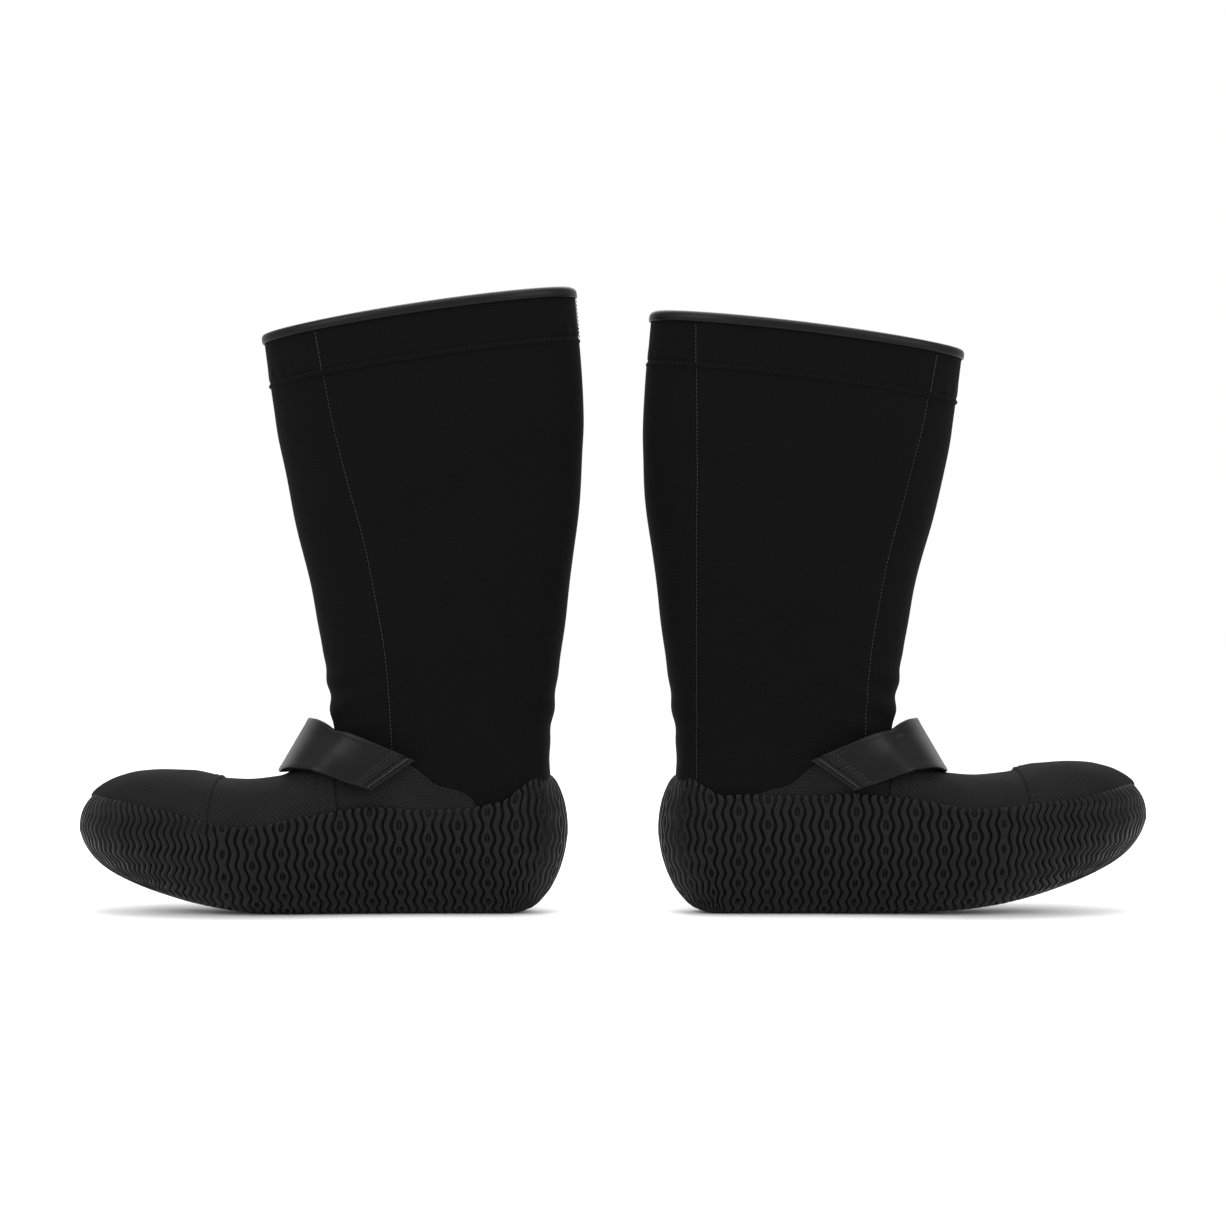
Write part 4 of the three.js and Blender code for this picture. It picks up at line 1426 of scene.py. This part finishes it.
# Jersey-laminated neoprene: a fine nylon knit glued to foam rubber. Matt and very dark. The knit is
# drawn coarser than a real one, so that it shows.
NEOPRENE = Finish("neoprene_nylon_jersey_laminated", "#090909", "#060606", 0.85, Pattern.KNIT, 1.0, 0.07,
                  sheen=0.01, specular=0.05)
# Woven nylon overlay: a diagonal basket weave, greyer than the neoprene.
WOVEN = Finish("nylon_overlay_basket_woven", "#1d1d1d", "#121212", 0.85, Pattern.CROSS_WEAVE, 1.1, 0.16,
               specular=0.06)
# Natural rubber, compression moulded: satin ribs over grooves whose floors are painted near black, as painted
# shade.
RUBBER = Finish("natural_rubber_compression_moulded", "#0e0e0f", "#070708", 0.38, Pattern.MOULDED, 0.9, 0.05,
                ior=1.52, specular=0.11)
# Polyester webbing, woven: close glossy filaments that catch long soft highlights.
STRAP = Finish("polyester_webbing_woven", "#0b0b0c", "#070708", 0.34, Pattern.WEBBING, 0.7, 0.05,
               specular=0.14)
# Grosgrain binding tape, woven from bright filament: a satin line round the top.
BINDING = Finish("nylon_binding_tape_woven", "#0d0d0e", "#08080a", 0.36, Pattern.SATIN, 0.8, 0.05,
                 specular=0.13)
# Bonded polyester thread, twisted: slightly lighter than the cloth so that each stitch reads.
THREAD = Finish("polyester_thread_bonded", "#29292b", "#19191b", 0.6, Pattern.PLAIN, 0.5, 0.05, specular=0.2)
# The same thread, dyed to match: it hardly shows on the foot and in the crease of the cuff.
DARK_THREAD = Finish("polyester_thread_bonded_black", "#111112", "#0a0a0b", 0.6, Pattern.PLAIN, 0.5, 0.05,
                     specular=0.08)
# Hook tape, moulded nylon: small stiff hooks with a hard sparkle.
HOOK = Finish("nylon_hook_tape_moulded", "#1a1a1b", "#070708", 0.45, Pattern.PILE, 1.3, 0.5, specular=0.3)
# Loop tape, napped nylon: a soft pile that takes light evenly.
LOOP = Finish("nylon_loop_tape_napped", "#141415", "#09090a", 0.85, Pattern.PILE, 0.8, 0.4,
              sheen=0.1, specular=0.1)
# Cellulose lasting board, pressed: fibrous and dry.
BOARD = Finish("cellulose_board_pressed", "#5d5040", "#4a3e30", 0.9, Pattern.FOAM, 1.2, 0.1)
# EVA footbed, cut from foam sheet: matt and pitted.
FOOTBED = Finish("eva_foam_sheet_cut", "#222325", "#17181a", 0.85, Pattern.FOAM, 0.7, 0.2, specular=0.2)


# ---------------------------------------------------------------- the stage


@dataclass
class Studio:
    """A pale floor, soft lights, a white surround and a camera level with the boots, in metres."""

    camera_distance: float = 1.72
    camera_height: float = 0.177
    frame_width: float = 0.726
    floor_radius: float = 9.0

    def build(self) -> None:
        """Sets up the stage."""
        self.floor()
        self.lights()
        self.camera()

    def floor(self) -> None:
        """A round sheet of matt paper."""
        turn = np.linspace(0, 2 * math.pi, 96, endpoint=False)
        edge = np.stack([np.cos(turn), np.sin(turn), 0 * turn], axis=-1) * self.floor_radius
        mesh = bpy.data.meshes.new("paper_floor")
        mesh.from_pydata(edge.tolist(), [], [list(range(len(turn)))])
        floor = bpy.data.objects.new("paper_floor", mesh)
        bpy.context.scene.collection.objects.link(floor)
        paper = bpy.data.materials.new("paper_matt_coated")
        paper.use_nodes = True
        paper.node_tree.nodes["Principled BSDF"].inputs["Base Color"].default_value = linear("#ffffff")
        paper.node_tree.nodes["Principled BSDF"].inputs["Roughness"].default_value = 0.95
        mesh.materials.append(paper)

    def lights(self) -> None:
        """A broad lamp on each side in front, one overhead, one behind and a white surround."""
        for name, place, size, power in (("key", (-1.6, -1.9, 1.7), 1.4, 26.0),
                                         ("fill", (1.7, -1.8, 1.5), 1.4, 22.0),
                                         ("top", (0.0, -0.4, 2.4), 1.8, 30.0),
                                         ("back", (0.0, 0.9, 1.2), 1.2, 8.0)):
            lamp = bpy.data.lights.new(name, "AREA")
            lamp.shape, lamp.size, lamp.energy = "SQUARE", size, power
            made = bpy.data.objects.new(name, lamp)
            made.location = place
            bpy.context.scene.collection.objects.link(made)
            aim = np.array([0.0, 0.0, 0.15]) - np.array(place)
            made.rotation_euler = lamp_turn(aim)
        world = bpy.data.worlds.new("white_surround")
        world.use_nodes = True
        world.node_tree.nodes["Background"].inputs["Color"].default_value = (1, 1, 1, 1)
        world.node_tree.nodes["Background"].inputs["Strength"].default_value = 1.0
        bpy.context.scene.world = world

    def camera(self) -> None:
        """A long lens at the height of the boots' middle, looking along +Y."""
        lens = bpy.data.cameras.new("level_view")
        lens.sensor_width = 36.0
        lens.lens = lens.sensor_width * self.camera_distance / self.frame_width
        eye = bpy.data.objects.new("level_view", lens)
        eye.location = (0.0, -self.camera_distance, self.camera_height)
        eye.rotation_euler = (math.pi / 2, 0.0, 0.0)
        bpy.context.scene.collection.objects.link(eye)
        bpy.context.scene.camera = eye
        bpy.context.scene.view_settings.view_transform = "Standard"


def lamp_turn(aim: Array) -> tuple[float, float, float]:
    """The rotation that points a lamp's -Z along a direction."""
    x, y, z = aim / np.linalg.norm(aim)
    return (math.acos(-z), 0.0, math.atan2(-x, y))


# ---------------------------------------------------------------- everything in order


def paint(pieces: dict[str, list[bpy.types.Object]], finishes: dict[str, bpy.types.Material]) -> None:
    """Gives each piece its finish and reports it.

    Args:
        pieces: pieces by finish.
        finishes: materials by finish.
    """
    for word, group in pieces.items():
        for piece in group:
            piece.data.materials.append(finishes[word])
            LOG.info("%-28s %6d faces  %s", piece.name, len(piece.data.polygons), finishes[word].name)


def main() -> None:
    """Builds both boots and the stage."""
    logging.basicConfig(level=logging.INFO, format="%(message)s")
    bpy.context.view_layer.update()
    finishes = {word: finish.material() for word, finish in {
        "neoprene": NEOPRENE, "woven": WOVEN, "rubber": RUBBER, "strap": STRAP, "binding": BINDING,
        "thread": THREAD, "dark thread": DARK_THREAD, "hook": HOOK, "loop": LOOP, "board": BOARD,
        "footbed": FOOTBED}.items()}
    for form in (BootForm(Side.LEFT, seam_shift=-9, back_seam=None, toe_lift=0, rim_lift=0),
                 BootForm(Side.RIGHT, seam_shift=9, back_seam=22, toe_lift=7, rim_lift=8)):
        sole = RubberSole(form)
        paint({"rubber": [sole.build()]}, finishes)
        for part in (NeopreneShaft(form), WovenFoot(form), InstepStrap(form), InnerSole(sole)):
            paint(part.build(), finishes)
    Studio().build()
    bpy.context.view_layer.update()


if __name__ == "__main__":
    main()
